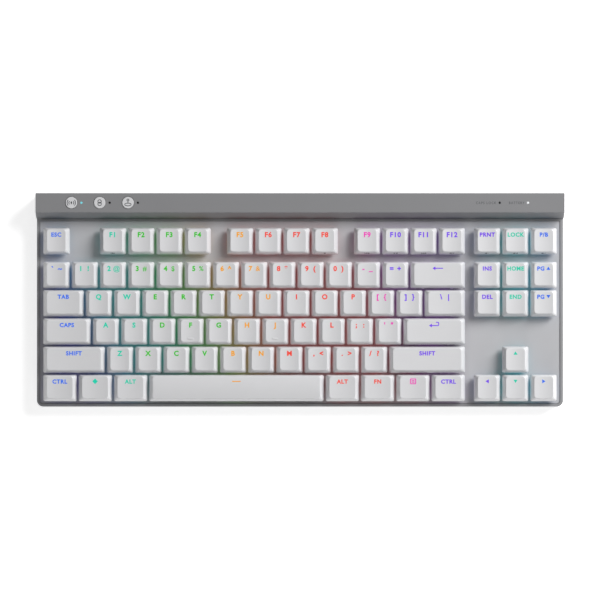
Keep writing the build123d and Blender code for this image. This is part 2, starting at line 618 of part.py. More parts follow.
def cap_blank(units):
    """Outer form of a keycap, dished from side to side, or crowned on the space bar."""
    blank = loft([cap_section(units, 0, 0), cap_section(units, CAP_HEIGHT, 0)], ruled=True)
    top = CAP_BASE + CAP_HEIGHT
    half_width = (units * KEY_PITCH - CAP_GAP) / 2 - CAP_SIDE_SLOPE
    half_depth = (KEY_PITCH - CAP_GAP) / 2
    if units > 3:
        radius = (half_depth**2 + SPACE_CROWN**2) / (2 * SPACE_CROWN)
        reach = units * KEY_PITCH / 2
        return blank & rod_x(-reach, reach, 0, top - radius, radius)
    radius = (half_width**2 + CAP_DISH**2) / (2 * CAP_DISH)
    hollow = Pos(0, 0, top - CAP_DISH + radius) * Rot(90, 0, 0) * Cylinder(radius, 3 * KEY_PITCH)
    return blank - hollow


def stab_hook(arm):
    """Rib under a wide keycap, with the slot that a stabiliser's pin slides in."""
    pin_z = STAB_PIVOT_Z + STAB_ARM * math.sin(math.radians(STAB_REST_ANGLE))
    rest_y = -STAB_PIVOT_BACK + STAB_ARM * math.cos(math.radians(STAB_REST_ANGLE))
    down_y = -STAB_PIVOT_BACK + math.sqrt(STAB_ARM**2 - (pin_z - KEY_TRAVEL - STAB_PIVOT_Z) ** 2)
    room = STAB_WIRE_RADIUS + STAB_CLEARANCE
    x1 = arm - STAB_WIRE_RADIUS - 0.4
    x0 = x1 - STAB_HOOK
    rib = block(x0, x1, rest_y - room - 0.8, down_y + room + 0.8, pin_z - room - 0.8, CAP_CEILING + 0.5)
    return rib - block(x0 - 1, x1 + 1, rest_y - room, down_y + room, pin_z - room, pin_z + room)


def keycap(units, arm=None):
    """Hollow keycap with its post and, on a stabilised key, two hooks."""
    cap = cap_blank(units)
    ceiling = CAP_CEILING - CAP_BASE
    cap -= loft([cap_section(units, -0.01, CAP_WALL), cap_section(units, ceiling, CAP_WALL)], ruled=True)
    post = rod(0, 0, CAP_POST_RADIUS, STEM_TOP, CAP_CEILING + 0.5)
    reach, arm_half = CROSS_LENGTH / 2 + CROSS_FIT, CROSS_ARM / 2 + CROSS_FIT
    for x, y in ((reach, arm_half), (arm_half, reach)):
        post -= block(-x, x, -y, y, STEM_TOP - 1, CAP_CEILING)
    cap += post
    if arm:
        hook = stab_hook(arm)
        cap = cap + hook + mirror(hook, Plane.YZ)
    return cap


CAPS, STEM = {}, switch_stem()


def key_node(names):
    """Keycap and stem of each key in one node."""
    solids = []
    for name in names.split():
        x, y, units = KEYS[name]
        kind = (units, STAB_ARMS.get(name))
        if kind not in CAPS:
            CAPS[kind] = keycap(*kind)
        solids += [CAPS[kind].moved(Location((x, y, 0))), STEM.moved(Location((x, y, 0)))]
    return solids


# ---------------------------------------------------------------- stabilisers
def stab_wire(name):
    """Bent wire that keeps one long keycap level, at its rest angle."""
    x, y, _ = KEYS[name]
    arm = STAB_ARMS[name]
    pivot = (y - STAB_PIVOT_BACK, STAB_PIVOT_Z)
    lean = math.radians(STAB_REST_ANGLE)
    tip = (pivot[0] + STAB_ARM * math.cos(lean), pivot[1] + STAB_ARM * math.sin(lean))
    points = [
        (x - arm + STAB_PIN_LENGTH, *tip),
        (x - arm, *tip),
        (x - arm, *pivot),
        (x + arm, *pivot),
        (x + arm, *tip),
        (x + arm - STAB_PIN_LENGTH, *tip),
    ]
    path = FilletPolyline(*points, radius=STAB_BEND)
    section = Plane(origin=path @ 0, z_dir=path % 0) * Circle(STAB_WIRE_RADIUS)
    return sweep(section, path)


def stabiliser_clips():
    """Plastic clips in the deck plate that the wires turn in."""
    clips = []
    for name, arm in STAB_ARMS.items():
        x, y, _ = KEYS[name]
        front = y - STAB_PIVOT_BACK - STAB_WIRE_RADIUS - 0.3
        for hand in (-1, 1):
            inner, outer = arm - STAB_PIN_LENGTH - 1.0, arm - STAB_BEND - STAB_WIRE_RADIUS
            x0, x1 = sorted((x + hand * inner, x + hand * outer))
            clip = block(x0, x1, front, front + 2.1, STAB_PIVOT_Z - 1.1, STAB_PIVOT_Z + 1.1)
            bore = STAB_WIRE_RADIUS + STAB_FIT
            clips.append(clip - rod_x(x0 - 1, x1 + 1, y - STAB_PIVOT_BACK, STAB_PIVOT_Z, bore))
    return clips


# ---------------------------------------------------------------- rear electronics
def control_board_y():
    rear = REAR_Y - PORT_DEPTH - PORT_WALL - 0.2
    return rear - CONTROL_BOARD[1], rear


def battery_y():
    middle = (BAR_FRONT_Y + REAR_Y - RIM_WALL) / 2
    return middle - BATTERY_SIZE[1] / 2, middle + BATTERY_SIZE[1] / 2


def controller_board():
    """Small board behind the cable socket, with the body of the power switch on it."""
    y0, y1 = control_board_y()
    x0, x1 = CONTROL_BOARD_SHIFT - CONTROL_BOARD[0] / 2, CONTROL_BOARD_SHIFT + CONTROL_BOARD[0] / 2
    board = block(x0, x1, y0, y1, FLOOR_TOP + 1.0, CONTROL_BOARD_TOP)
    body = SWITCH_BLOCK
    back = y1 - 0.4
    switch = block(
        SLIDER_OFFSET - body[0] / 2, SLIDER_OFFSET + body[0] / 2, back - body[1], back,
        CONTROL_BOARD_TOP, CONTROL_BOARD_TOP + body[2],
    )
    groove = SLIDER_TRAVEL / 2 + 1.0
    switch -= block(
        SLIDER_OFFSET - groove - SLIDER_FIT, SLIDER_OFFSET + groove + SLIDER_FIT, back - 2.0, back + 1,
        SLIDER_Z - 0.8, SLIDER_Z + 0.8,
    )
    chip_x = CONTROL_BOARD_SHIFT - 2
    chip = block(chip_x, chip_x + 6, y0 + 1, y0 + 7, CONTROL_BOARD_TOP, CONTROL_BOARD_TOP + 1)
    return [board, switch, chip]


def power_slider():
    """Knob of the power switch, with the tongue that reaches into the switch."""
    x0 = SLIDER_OFFSET - SLIDER_TRAVEL / 2
    half_x, half_z = SLIDER_SIZE[0] / 2, SLIDER_SIZE[1] / 2
    inner, outer = REAR_Y - RIM_WALL - 0.6, REAR_Y - SLIDER_POCKET
    knob = block(x0 - half_x, x0 + half_x, inner, outer, SLIDER_Z - half_z, SLIDER_Z + half_z)
    back = control_board_y()[1] - 0.4
    return knob + block(x0 - 1.0, x0 + 1.0, back - 1.8, inner, SLIDER_Z - 0.6, SLIDER_Z + 0.6)


def socket_outline(extra, y0, y1):
    """Rounded block along Y around the cable socket."""
    width, height = SOCKET_SIZE[0] + 2 * extra, SOCKET_SIZE[2] + 2 * extra
    face = Plane(origin=(0, y0, SOCKET_Z), x_dir=(1, 0, 0), z_dir=(0, 1, 0)) * SlotOverall(width, height)
    return extrude(face, y1 - y0)


def usb_socket():
    """Shell of the cable socket and the tongue in it."""
    mouth, back = REAR_Y - PORT_DEPTH, REAR_Y - PORT_DEPTH - SOCKET_SIZE[1]
    shell = socket_outline(0, back, mouth) - socket_outline(-SOCKET_WALL, back + 1.0, mouth + 1)
    width, length, height = SOCKET_TONGUE
    return [shell, Pos(0, back + 1.0 + length / 2, SOCKET_Z) * Box(width, length, height)]


def button_board():
    """Small board under the bar's buttons, with a push switch for each."""
    board = Pos(BUTTON_XS[1], BUTTON_Y, BUTTON_BOARD_TOP - BUTTON_BOARD[2] / 2) * Box(*BUTTON_BOARD)
    height = BUTTON_BOARD_TOP + TACT_SIZE[2] / 2
    return [board] + [Pos(x, BUTTON_Y, height) * Box(*TACT_SIZE) for x in BUTTON_XS]


def round_button(index):
    """One round button with its retaining flange and stem."""
    x = BUTTON_XS[index]
    under = BAR_TOP - BAR_WALL - 0.2
    button = rod(x, BUTTON_Y, BUTTON_RADIUS, under - BUTTON_FLANGE_THICKNESS, BAR_TOP + BUTTON_PROUD)
    button = fillet(button.faces().sort_by(Axis.Z)[-1].edges(), 0.3)
    button += rod(x, BUTTON_Y, BUTTON_RADIUS + BUTTON_FLANGE, under - BUTTON_FLANGE_THICKNESS, under)
    low = BUTTON_BOARD_TOP + TACT_SIZE[2] + BUTTON_TRAVEL + 0.1
    return button + rod(x, BUTTON_Y, BUTTON_STEM_RADIUS, low, under)


def indicator_lenses():
    """Clear light pipes of the status lights."""
    return [rod(x, BUTTON_Y, LENS_RADIUS, BAR_TOP - BAR_WALL - 1.2, BAR_TOP) for x in LENS_XS]


def battery_cell():
    """Flat cell under the rear bar."""
    size, (y0, y1) = BATTERY_SIZE, battery_y()
    half = size[0] / 2
    cell = block(BATTERY_OFFSET - half, BATTERY_OFFSET + half, y0, y1, FLOOR_TOP, FLOOR_TOP + size[2])
    return fillet(cell.edges().filter_by(Axis.X), 1.5)


def ribbon_cable():
    """Flat cable from the main board to the controller board."""
    start = BAR_FRONT_Y - LIP_THICKNESS - BOARD_GAP - 4.0
    top, low = BOARD_BOTTOM, CONTROL_BOARD_TOP
    end = control_board_y()[0] + 3.0
    laid = low + RIBBON_THICKNESS
    line = [(start, top), (end - 6.5, top), (end - 4.0, laid), (end, laid)]
    under = [(y, z - RIBBON_THICKNESS) for y, z in reversed(line)]
    face = make_face(Polyline(line + under, close=True))
    middle = CONTROL_BOARD_SHIFT + CONTROL_BOARD[0] / 4
    return along_x(face, middle - RIBBON_WIDTH / 2, middle + RIBBON_WIDTH / 2)


# ---------------------------------------------------------------- feet, pads and screws
def foot_plate(x0, x1, length):
    """Flat tab from the pivot forwards, round at both ends."""
    reach = FOOT_THICKNESS / 2
    tip = FOOT_PIVOT_Y - length + reach
    tab = block(x0, x1, tip, FOOT_PIVOT_Y, FOOT_PIVOT_Z - reach, FOOT_PIVOT_Z + reach)
    tab += rod_x(x0, x1, FOOT_PIVOT_Y, FOOT_PIVOT_Z, reach)
    return tab + rod_x(x0, x1, tip, FOOT_PIVOT_Z, reach)


def long_foot(side):
    """Outer folding foot, a frame around the short one."""
    x, half = side * FOOT_OFFSET, LONG_FOOT_WIDTH / 2
    foot = foot_plate(x - half, x + half, LONG_FOOT_LENGTH)
    inner = half - LONG_FOOT_ARM
    window_front = FOOT_PIVOT_Y - SHORT_FOOT_LENGTH - FOOT_CLEARANCE
    foot -= block(x - inner, x + inner, window_front, REAR_Y, 0, RIM_TOP)
    for hand in (-1, 1):
        x0, x1 = sorted((x + hand * inner, x + hand * (inner - FOOT_STUB_LENGTH)))
        foot += rod_x(x0, x1, FOOT_PIVOT_Y, FOOT_PIVOT_Z, FOOT_STUB_RADIUS)
    return foot


def short_foot(side):
    """Inner folding foot."""
    x, half = side * FOOT_OFFSET, SHORT_FOOT_WIDTH / 2
    foot = foot_plate(x - half, x + half, SHORT_FOOT_LENGTH)
    reach = half + FOOT_STUB_LENGTH
    return foot + rod_x(x - reach, x + reach, FOOT_PIVOT_Y, FOOT_PIVOT_Z, FOOT_STUB_RADIUS)


def rubber_pads():
    """Non-slip pads let into the underside."""
    pad = prism(SlotOverall(PAD_LENGTH, PAD_WIDTH), 0, PAD_PROUD + PAD_POCKET)
    return [pad.moved(Location((x, y, 0))) for x, y in pad_places()]


def case_screws():
    """Screws up through the floor into the deck plate's posts and the bar's bosses."""
    screws = []
    for x, y in SCREWS:
        neck = SCREW_HEAD_BOTTOM + SCREW_HEAD_HEIGHT
        shank = rod(x, y, SCREW_RADIUS, neck, SCREW_HEAD_BOTTOM + SCREW_LENGTH)
        head = rod(x, y, SCREW_HEAD_RADIUS, SCREW_HEAD_BOTTOM, neck)
        drive = rod(x, y, 0.5, SCREW_HEAD_BOTTOM - 1, SCREW_HEAD_BOTTOM + 0.6)
        screws.append(head + shank - drive)
    return screws


# ---------------------------------------------------------------- writing the parts
def write(name, solids):
    """Writes one sub-part, a solid or a list of solids."""
    shape = Compound(children=list(solids)) if isinstance(solids, (list, tuple)) else solids
    export_step(shape, f"parts/{name}.step")


os.makedirs("parts", exist_ok=True)
write("bottom_case", bottom_case())
write("rear_cover", rear_cover())
write("deck_plate", deck_plate())
write("main_board", main_board())
write("damper_sheet", damper_sheet())
write("key_leds", key_leds())
write("switch_bases", at_every_key(switch_base()))
write("switch_covers", at_every_key(switch_cover()))
write("switch_springs", at_every_key(switch_spring()))
for node, key_names in KEY_NODES.items():
    write(node, key_node(key_names))
for key in STAB_ARMS:
    write(f"stabiliser_{key}", stab_wire(key))
write("stabiliser_clips", stabiliser_clips())
write("controller_board", controller_board())
write("usb_socket", usb_socket())
write("power_slider", power_slider())
write("button_board", button_board())
for number, button_name in enumerate(("wireless", "pairing", "game_mode")):
    write(f"button_{button_name}", round_button(number))
write("indicator_lenses", indicator_lenses())
write("battery_cell", battery_cell())
write("ribbon_cable", ribbon_cable())
for hand_name, hand_side in (("left", -1), ("right", 1)):
    write(f"foot_{hand_name}_long", long_foot(hand_side))
    write(f"foot_{hand_name}_short", short_foot(hand_side))
write("rubber_pads", rubber_pads())
write("case_screws", case_screws())
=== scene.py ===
# %% [markdown]
# # A low-profile mechanical keyboard
# The real object is a metal deck with 87 lit keys, a plastic tray under it and a bar across the
# rear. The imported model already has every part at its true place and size. This script gives
# those parts their finish, and remakes the keycaps, legends and lights, whose look needs more
# than plain solids. Everything is in metres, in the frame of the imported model.

import math

import bmesh
import bpy
import numpy as np
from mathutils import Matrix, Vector


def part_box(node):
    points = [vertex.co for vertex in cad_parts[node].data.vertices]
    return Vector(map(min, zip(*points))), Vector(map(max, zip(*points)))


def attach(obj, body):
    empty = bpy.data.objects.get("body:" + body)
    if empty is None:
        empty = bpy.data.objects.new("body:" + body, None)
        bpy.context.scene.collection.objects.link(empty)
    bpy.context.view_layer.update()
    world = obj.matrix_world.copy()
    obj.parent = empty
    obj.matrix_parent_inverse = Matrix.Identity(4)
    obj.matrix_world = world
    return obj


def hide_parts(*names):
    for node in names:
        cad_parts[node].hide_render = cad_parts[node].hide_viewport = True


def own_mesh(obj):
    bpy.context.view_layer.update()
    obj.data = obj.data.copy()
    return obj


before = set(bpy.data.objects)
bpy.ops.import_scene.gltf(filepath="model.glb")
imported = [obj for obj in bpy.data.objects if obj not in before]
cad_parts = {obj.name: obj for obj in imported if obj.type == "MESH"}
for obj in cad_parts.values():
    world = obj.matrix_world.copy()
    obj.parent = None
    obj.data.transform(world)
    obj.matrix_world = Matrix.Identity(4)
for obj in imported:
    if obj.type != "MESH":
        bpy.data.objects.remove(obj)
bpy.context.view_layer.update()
MM = 0.001

# %% [markdown]
# ## Two helpers
# Every material and every geometry tree is built of nodes, so one small function adds a node, sets
# its options and links its inputs. Colours are written as screen colours, as in a paint program.
# Blender reckons in linear light, so a second function turns one into the other.

# %% Nodes and colours
def add(tree, kind, inputs=None, **settings):
    """Adds a node, sets its options, and fills or links its inputs."""
    node = tree.nodes.new(kind)
    for name, value in settings.items():
        setattr(node, name, value)
    for name, value in (inputs or {}).items():
        if isinstance(value, bpy.types.NodeSocket):
            tree.links.new(value, node.inputs[name])
        else:
            node.inputs[name].default_value = value
    return node


def colour(hex_code):
    """A screen colour such as "D8D9DB" as linear red, green, blue and alpha."""
    parts = [int(hex_code[i : i + 2], 16) / 255 for i in (0, 2, 4)]
    linear = [p / 12.92 if p <= 0.04045 else ((p + 0.055) / 1.055) ** 2.4 for p in parts]
    return (*linear, 1.0)


print("half-bright screen grey in linear light", round(colour("808080")[0], 3))

# %% [markdown]
# ## Camera, floor and light
# The keyboard is seen from straight above with a long lens, so its sides stay parallel. A big
# soft lamp at the right and rear makes the right flank of every key bright and the left one
# darker, a weak low one fills the front flanks, and an even white surround fills the shadows.
# Both lamps are fairly low, so little of their light falls into the gaps between the keys, and
# the coloured light there stays strong. A pale floor catches a soft shadow.

# %% Camera above the keys
KEY_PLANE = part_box("key_esc")[1].z
CAMERA_DISTANCE = 2.9
VIEW_WIDTH = 0.4043            # what the frame's width covers at the height of the keys

camera_data = bpy.data.cameras.new("camera")
camera_data.sensor_width = 36
camera_data.lens = camera_data.sensor_width * CAMERA_DISTANCE / VIEW_WIDTH
camera = bpy.data.objects.new("camera", camera_data)
camera.location = (0, 0, KEY_PLANE + CAMERA_DISTANCE)
bpy.context.scene.collection.objects.link(camera)
bpy.context.scene.camera = camera
print("lens", round(camera_data.lens), "mm")

# %% Floor and lamps
FLOOR_SIZE = 6.0
scene = bpy.context.scene
scene.view_settings.view_transform = "Standard"

floor_mesh = bpy.data.meshes.new("floor")
half = FLOOR_SIZE / 2
floor_corners = [(-half, -half, 0), (half, -half, 0), (half, half, 0), (-half, half, 0)]
floor_mesh.from_pydata(floor_corners, [], [(0, 1, 2, 3)])
floor = bpy.data.objects.new("floor", floor_mesh)
scene.collection.objects.link(floor)

floor_paint = bpy.data.materials.new("matt_white_backdrop")
floor_paint.use_nodes = True
paint = floor_paint.node_tree.nodes["Principled BSDF"]
paint.inputs["Base Color"].default_value = colour("F4F4F4")
paint.inputs["Roughness"].default_value = 0.9
paint.inputs["Emission Color"].default_value = colour("FFFFFF")
paint.inputs["Emission Strength"].default_value = 0.62
floor_mesh.materials.append(floor_paint)

world = bpy.data.worlds.new("studio")
world.use_nodes = True
world.node_tree.nodes["Background"].inputs["Color"].default_value = colour("FFFFFF")
world.node_tree.nodes["Background"].inputs["Strength"].default_value = 0.23
scene.world = world


def lamp(name, place, size, watts):
    """A square soft lamp that faces the middle of the keyboard."""
    data = bpy.data.lights.new(name, "AREA")
    data.size, data.energy = size, watts
    made = bpy.data.objects.new(name, data)
    made.location = place
    made.rotation_mode = "QUATERNION"
    made.rotation_quaternion = (-Vector(place)).to_track_quat("-Z", "Y")
    scene.collection.objects.link(made)


lamp("lamp_right_rear", (1.36, 1.02, 1.2), 1.0, 44)
lamp("lamp_front", (0.1, -2.05, 0.8), 1.2, 10)
print("stage and lamps ready")

# %% [markdown]
# ## Finishes
# Each finish starts from the real material. Moulded plastic has a fine spark-eroded grain that
# breaks up its shine, and powder-coated aluminium has a finer one. A small noise drives both the
# height of the grain and its roughness. The grain is drawn at 0.25 mm or more, coarser than the
# real 0.05 mm, because the real one would not show. A broad noise adds slight changes of shade.

# %% Plastic, metal, rubber and board
SHADE_PATCH = 18                           # mm across one slight change of shade
SHINE_RANGE = 0.07                         # how far the grain moves the roughness each way


def finish(name, shade, roughness, metallic=0.0, ior=1.5, grain=0.4, depth=0.01, mottle=0.03):
    """A material with a grain of a size and depth in millimetres and slight shade changes."""
    material = bpy.data.materials.new(name)
    material.use_nodes = True
    tree = material.node_tree
    shader = tree.nodes["Principled BSDF"]
    shader.inputs["Metallic"].default_value = metallic
    if not metallic:
        shader.inputs["IOR"].default_value = ior
    place = add(tree, "ShaderNodeTexCoord").outputs["Object"]
    fine = add(tree, "ShaderNodeTexNoise", {
        "Vector": place, "Scale": 1 / (grain * MM), "Detail": 3.0})
    broad = add(tree, "ShaderNodeTexNoise", {
        "Vector": place, "Scale": 1 / (SHADE_PATCH * MM), "Detail": 4.0})
    shine = add(tree, "ShaderNodeMapRange", {
        "Value": fine.outputs["Fac"],
        "To Min": roughness - SHINE_RANGE, "To Max": roughness + SHINE_RANGE})
    bump = add(tree, "ShaderNodeBump", {
        "Height": fine.outputs["Fac"], "Distance": depth * MM, "Strength": 0.6})
    base = colour(shade)
    tint = add(tree, "ShaderNodeValToRGB", {"Fac": broad.outputs["Fac"]})
    tint.color_ramp.elements[0].color = base
    tint.color_ramp.elements[1].color = (*[c * (1 - 2 * mottle) for c in base[:3]], 1)
    tree.links.new(tint.outputs["Color"], shader.inputs["Base Color"])
    tree.links.new(shine.outputs["Result"], shader.inputs["Roughness"])
    tree.links.new(bump.outputs["Normal"], shader.inputs["Normal"])
    return material


# PBT keycaps: near white, dry and slightly rough, so no sharp highlight.
KEYCAP = finish("white_pbt_keycap", "E4E4E6", 0.5, grain=0.35, depth=0.012)
# ABS tray: a light neutral grey, moulded a little coarser than the caps.
TRAY = finish("grey_abs_tray", "9B9B9D", 0.52, grain=0.6, depth=0.02)
# Satin painted bar: mid grey with a metallic paint's even sheen.
BAR = finish("silver_painted_bar", "8F8F91", 0.42, grain=0.3, depth=0.006)
# Buttons: pale ABS, a little smoother than the tray, so they catch a soft highlight.
BUTTON = finish("pale_abs_button", "E2E2E4", 0.45, grain=0.3)
# Deck: aluminium with a silver powder coat, which scatters light evenly like fine sand.
DECK = finish("silver_powder_coat", "C2C2C5", 0.6, grain=0.3, depth=0.012)
# Springs, wires and screws: drawn steel is bright and smooth, with small sharp highlights.
STEEL = finish("drawn_spring_steel", "B9BABD", 0.28, metallic=1.0, grain=0.25, depth=0.003)
# Pads: silicone rubber, nearly black and dull, with hardly any shine.
RUBBER = finish("black_silicone_rubber", "1C1D1F", 0.75, grain=0.5, depth=0.02)
# Damper sheet and ribbon cable: softer silicone, grey and matt.
SILICONE = finish("grey_silicone_sheet", "55575B", 0.7, grain=0.8, depth=0.02)
# Battery pouch: thin aluminium foil, with wrinkles that break its highlights into patches.
FOIL = finish("aluminium_foil_pouch", "C4C6C9", 0.35, metallic=1.0, grain=2.0, depth=0.08)
# Circuit boards: green solder mask over copper, as glossy as lacquer.
BOARD = finish("green_solder_mask", "123A28", 0.35, grain=1.2, depth=0.01)
# Stems and clips: moulded POM, white and slightly waxy.
STEM = finish("white_pom_stem", "D9D9DC", 0.4, grain=0.3)
# Switch bases: moulded nylon, dark with a satin shine.
NYLON = finish("dark_nylon_switch_base", "2A2B2E", 0.5, grain=0.4)
# Print on the bar and its buttons: thin pad-printed ink, matt. A laser leaves a darker mark.
ICON = finish("grey_pad_print", "5A5C60", 0.6, grain=0.3)
INK = finish("dark_laser_ink", "1C1D1F", 0.6, grain=0.3)
print("materials so far", len(bpy.data.materials))

# %% [markdown]
# ## Light under the keys
# A light source sits behind the middle of each switch, and the clear upper housing spreads its
# colour. The colours run from left to right, and lean with the stagger of the rows. A colour ramp
# along X, read in the object's own coordinates, gives each housing the colour of its place. The
# housings then light the deck and the flanks of the keys by themselves. Legends and status lights
# are clear plastic too, each with one colour.

# %% Colours of the light and of the legends
LIGHT = {
    "b": "3070EC", "t": "22CCAC", "g": "3CC02E", "a": "F0A420", "r": "F04C3C", "p": "EA44B8",
    "v": "7848E8",
}
PITCH = 19.05 * MM
CAP_GAP = 1.55 * MM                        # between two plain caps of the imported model
FIELD_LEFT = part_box("key_esc")[0].x - CAP_GAP / 2
CLUSTER_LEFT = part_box("key_arrow_left")[0].x - CAP_GAP / 2
DIGITS_Y = sum(corner.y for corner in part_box("key_backspace")) / 2
FIELD_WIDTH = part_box("key_arrow_right")[1].x + CAP_GAP / 2 - FIELD_LEFT
# The light's colour under the keys and its place, in key widths from the left of the digits' row.
BANDS = ((0.0, "332DA5"), (1.0, "338CCF"), (1.9, "08BCBC"), (3.1, "08BCB0"), (4.0, "08C665"),
         (5.0, "6EC24A"), (6.0, "D8A83C"), (7.0, "E07458"), (8.0, "D85A56"), (10.6, "D85656"),
         (11.3, "CE4C62"), (12.1, "9E4AB0"), (13.8, "9A54C0"), (15.2, "6A58B4"), (16.2, "08BCBC"),
         (17.1, "10E0F8"), (17.9, "5C9CD8"))
ROW_LEAN = 0.42                            # shift along X for each step down the main block
UNLIT_SHARE = 0.2                          # a lit plastic's own colour, as a share of its light


def glow(name, shade, strength):
    """Clear plastic lit from inside, in one shade or, with None, in the bands along X."""
    material = bpy.data.materials.new(name)
    material.use_nodes = True
    tree = material.node_tree
    shader = tree.nodes["Principled BSDF"]
    shader.inputs["Roughness"].default_value = 0.35
    shader.inputs["Emission Strength"].default_value = strength
    if shade:
        unlit = [c * UNLIT_SHARE for c in colour(shade)[:3]]
        shader.inputs["Base Color"].default_value = (*unlit, 1)
        shader.inputs["Emission Color"].default_value = colour(shade)
        return material
    place = add(tree, "ShaderNodeTexCoord").outputs["Object"]
    axes = add(tree, "ShaderNodeSeparateXYZ", {"Vector": place}).outputs
    below = add(tree, "ShaderNodeMath", {
        0: axes["Y"], 1: ROW_LEAN, 2: -ROW_LEAN * DIGITS_Y}, operation="MULTIPLY_ADD")
    in_block = add(tree, "ShaderNodeMath", {0: axes["X"], 1: CLUSTER_LEFT}, operation="LESS_THAN")
    along = add(tree, "ShaderNodeMath", {
        0: below.outputs["Value"], 1: in_block.outputs["Value"], 2: axes["X"]},
        operation="MULTIPLY_ADD")
    share = add(tree, "ShaderNodeMapRange", {
        "Value": along.outputs["Value"],
        "From Min": FIELD_LEFT, "From Max": FIELD_LEFT + FIELD_WIDTH})
    ramp = add(tree, "ShaderNodeValToRGB", {"Fac": share.outputs["Result"]})
    stops = ramp.color_ramp.elements
    stops[0].color, stops[1].color = colour(BANDS[0][1]), colour(BANDS[-1][1])
    for start, code in BANDS[1:]:
        stops.new(start * PITCH / FIELD_WIDTH).color = colour(code)
    tree.links.new(ramp.outputs["Color"], shader.inputs["Emission Color"])
    shader.inputs["Base Color"].default_value = colour("34363A")
    return material


# Clear polycarbonate housings, smoky between the lights, and clear legends that let light through.
HOUSING = glow("lit_clear_polycarbonate", None, 1.0)
LEGEND_LIGHT = 0.85
LEGEND = {letter: glow(f"lit_legend_{letter}", shade, LEGEND_LIGHT)
          for letter, shade in LIGHT.items()}
print("bands of light", len(BANDS))

# %% [markdown]
# ## Where the keys are
# The layout is read from text, one line for each row: a node's name, then its keys. A key is the
# letter of its light and its legend. "=2" makes the next key two units wide and "-1" leaves a
# gap. The rows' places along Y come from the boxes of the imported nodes.

# %% Read the layout
ROWS = (
    ("key_esc", "key_esc bESC -1 keys_f1_f4 tF1 gF2 gF3 gF4 -0.5 keys_f5_f8 aF5 rF6 rF7 rF8 -0.5"
     " keys_f9_f12 pF9 vF10 vF11 vF12", "keys_print_lock_pause vPRNT tLOCK bP/B"),
    ("key_backspace", "keys_digits_left b`~ t1! t2@ g3# g4$ g5% keys_digits_right a6^ a7& r8* r9("
     " r0) p-_ v=+ key_backspace =2 v←", "keys_navigation vINS tHOME bPG▲"),
    ("key_tab", "key_tab =1.5 bTAB keys_qwert tQ tW gE gR gT keys_yuiop aY aU rI rO rP"
     " keys_brackets p[{ v]} =1.5 v\\|", "keys_navigation vDEL tEND bPG▼"),
    ("key_caps_lock", "key_caps_lock =1.75 bCAPS keys_asdfg tA tS gD gF gG keys_hjkl aH aJ rK rL"
     " keys_semicolon_quote r;: p'\" key_enter =2.25 v↵", ""),
    ("key_shift_left", "key_shift_left =2.25 bSHIFT keys_zxcvb tZ gX gC gV aB"
     " keys_nm_comma_slash aN rM r,< r.> r/? key_shift_right =2.75 vSHIFT",
     "-1 key_arrow_up t▲"),
    ("key_space", "keys_modifiers_left =1.25 bCTRL =1.25 t◆ =1.25 tALT key_space =6.25 a—"
     " keys_modifiers_right =1.25 rALT =1.25 rFN =1.25 p▤ =1.25 vCTRL",
     "key_arrow_left v◄ key_arrow_down t▼ key_arrow_right b►"),
)


def read_row(text, x, y):
    """The keys of one line, each with its node, legend, light, width and middle."""
    found, units, node = [], 1.0, None
    for word in text.split():
        if word.startswith("key"):
            node = word
        elif word[0] == "-":
            x += float(word[1:]) * PITCH
        elif word[0] == "=":
            units = float(word[1:])
        else:
            middle = Vector((x + units * PITCH / 2, y, 0))
            found.append({
                "node": node, "light": word[0], "legend": word[1:], "units": units, "at": middle})
            x += units * PITCH
            units = 1.0
    return found


KEYS = []
for marker, main, cluster in ROWS:
    low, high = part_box(marker)
    row_middle = (low.y + high.y) / 2
    KEYS += read_row(main, FIELD_LEFT, row_middle) + read_row(cluster, CLUSTER_LEFT, row_middle)
print("keys", len(KEYS), "on nodes", len({key["node"] for key in KEYS}))

# %% [markdown]
# ## One keycap of each width
# A keycap is a hollow shell with four leaning flanks, rounded corners, a softly rounded upper
# edge and a dished top. Its shape follows a rule, so loops of points are worked out at each
# height and joined by faces. The dish is a hollow across X, and the space bar has a crown instead.
# Sizes in this part of the script are in millimetres, and become metres when a mesh is made.

# %% Sizes of a keycap
CAP_LOW, CAP_HIGH = 14.0, 19.0           # skirt edge and rim of the top, in mm above the table
SKIRT_GAP, SKIRT_FORWARD = 1.05, 0.25    # between two skirts, and how far they stand forward
CAP_SIDE, CAP_FRONT, CAP_REAR = 2.55, 2.1, 1.2    # how far each flank leans in, over its height
CAP_BASE_RADIUS, CAP_TOP_RADIUS, LEAST_RADIUS = 1.3, 2.0, 0.35
CAP_DISH, SPACE_CROWN = 0.5, 1.0         # depth of the dish, and fall of the crown to its edges
CAP_EDGE = 0.32                          # how far the upper edge is rounded
CAP_WALL, CAP_CEILING = 0.95, 16.8       # wall of the skirt, and the hollow's height above the table
SKIRT_BEVEL = 0.12                       # at the lower edge of the skirt
WIDEST_DISHED = 3                        # a key wider than this many units has a crown
CORNERS = ((1, 1), (-1, 1), (-1, -1), (1, -1))    # on which side in X and Y, anticlockwise
ARC_STEPS, SIDE_STEPS = 5, 8             # faces round each corner, and along a short side
# Where loops lie along a flank, over the rounded edge and from the edge to the middle of the top.
FLANK_SHARES = (0.03, 0.5, 0.97, 1.0)
EDGE_SHARES = (0.25, 0.5, 0.75, 1.0)
TOP_SHARES = (0.98, 0.88, 0.76, 0.62, 0.46, 0.3, 0.14, 0.03)
print("a cap is", CAP_HIGH - CAP_LOW, "mm high from its skirt to its rim")

# %% The rule of a keycap
def top_height(units, x, y):
    """Height of a keycap's top surface in mm, at a place in mm from its middle."""
    if units > WIDEST_DISHED:
        return CAP_HIGH - SPACE_CROWN * (y / (PITCH - CAP_GAP) * 2 * MM) ** 2
    half_width = (units * PITCH / MM - SKIRT_GAP) / 2 - CAP_SIDE
    return CAP_HIGH - CAP_DISH + CAP_DISH * np.minimum((x / half_width) ** 2, 1.0)


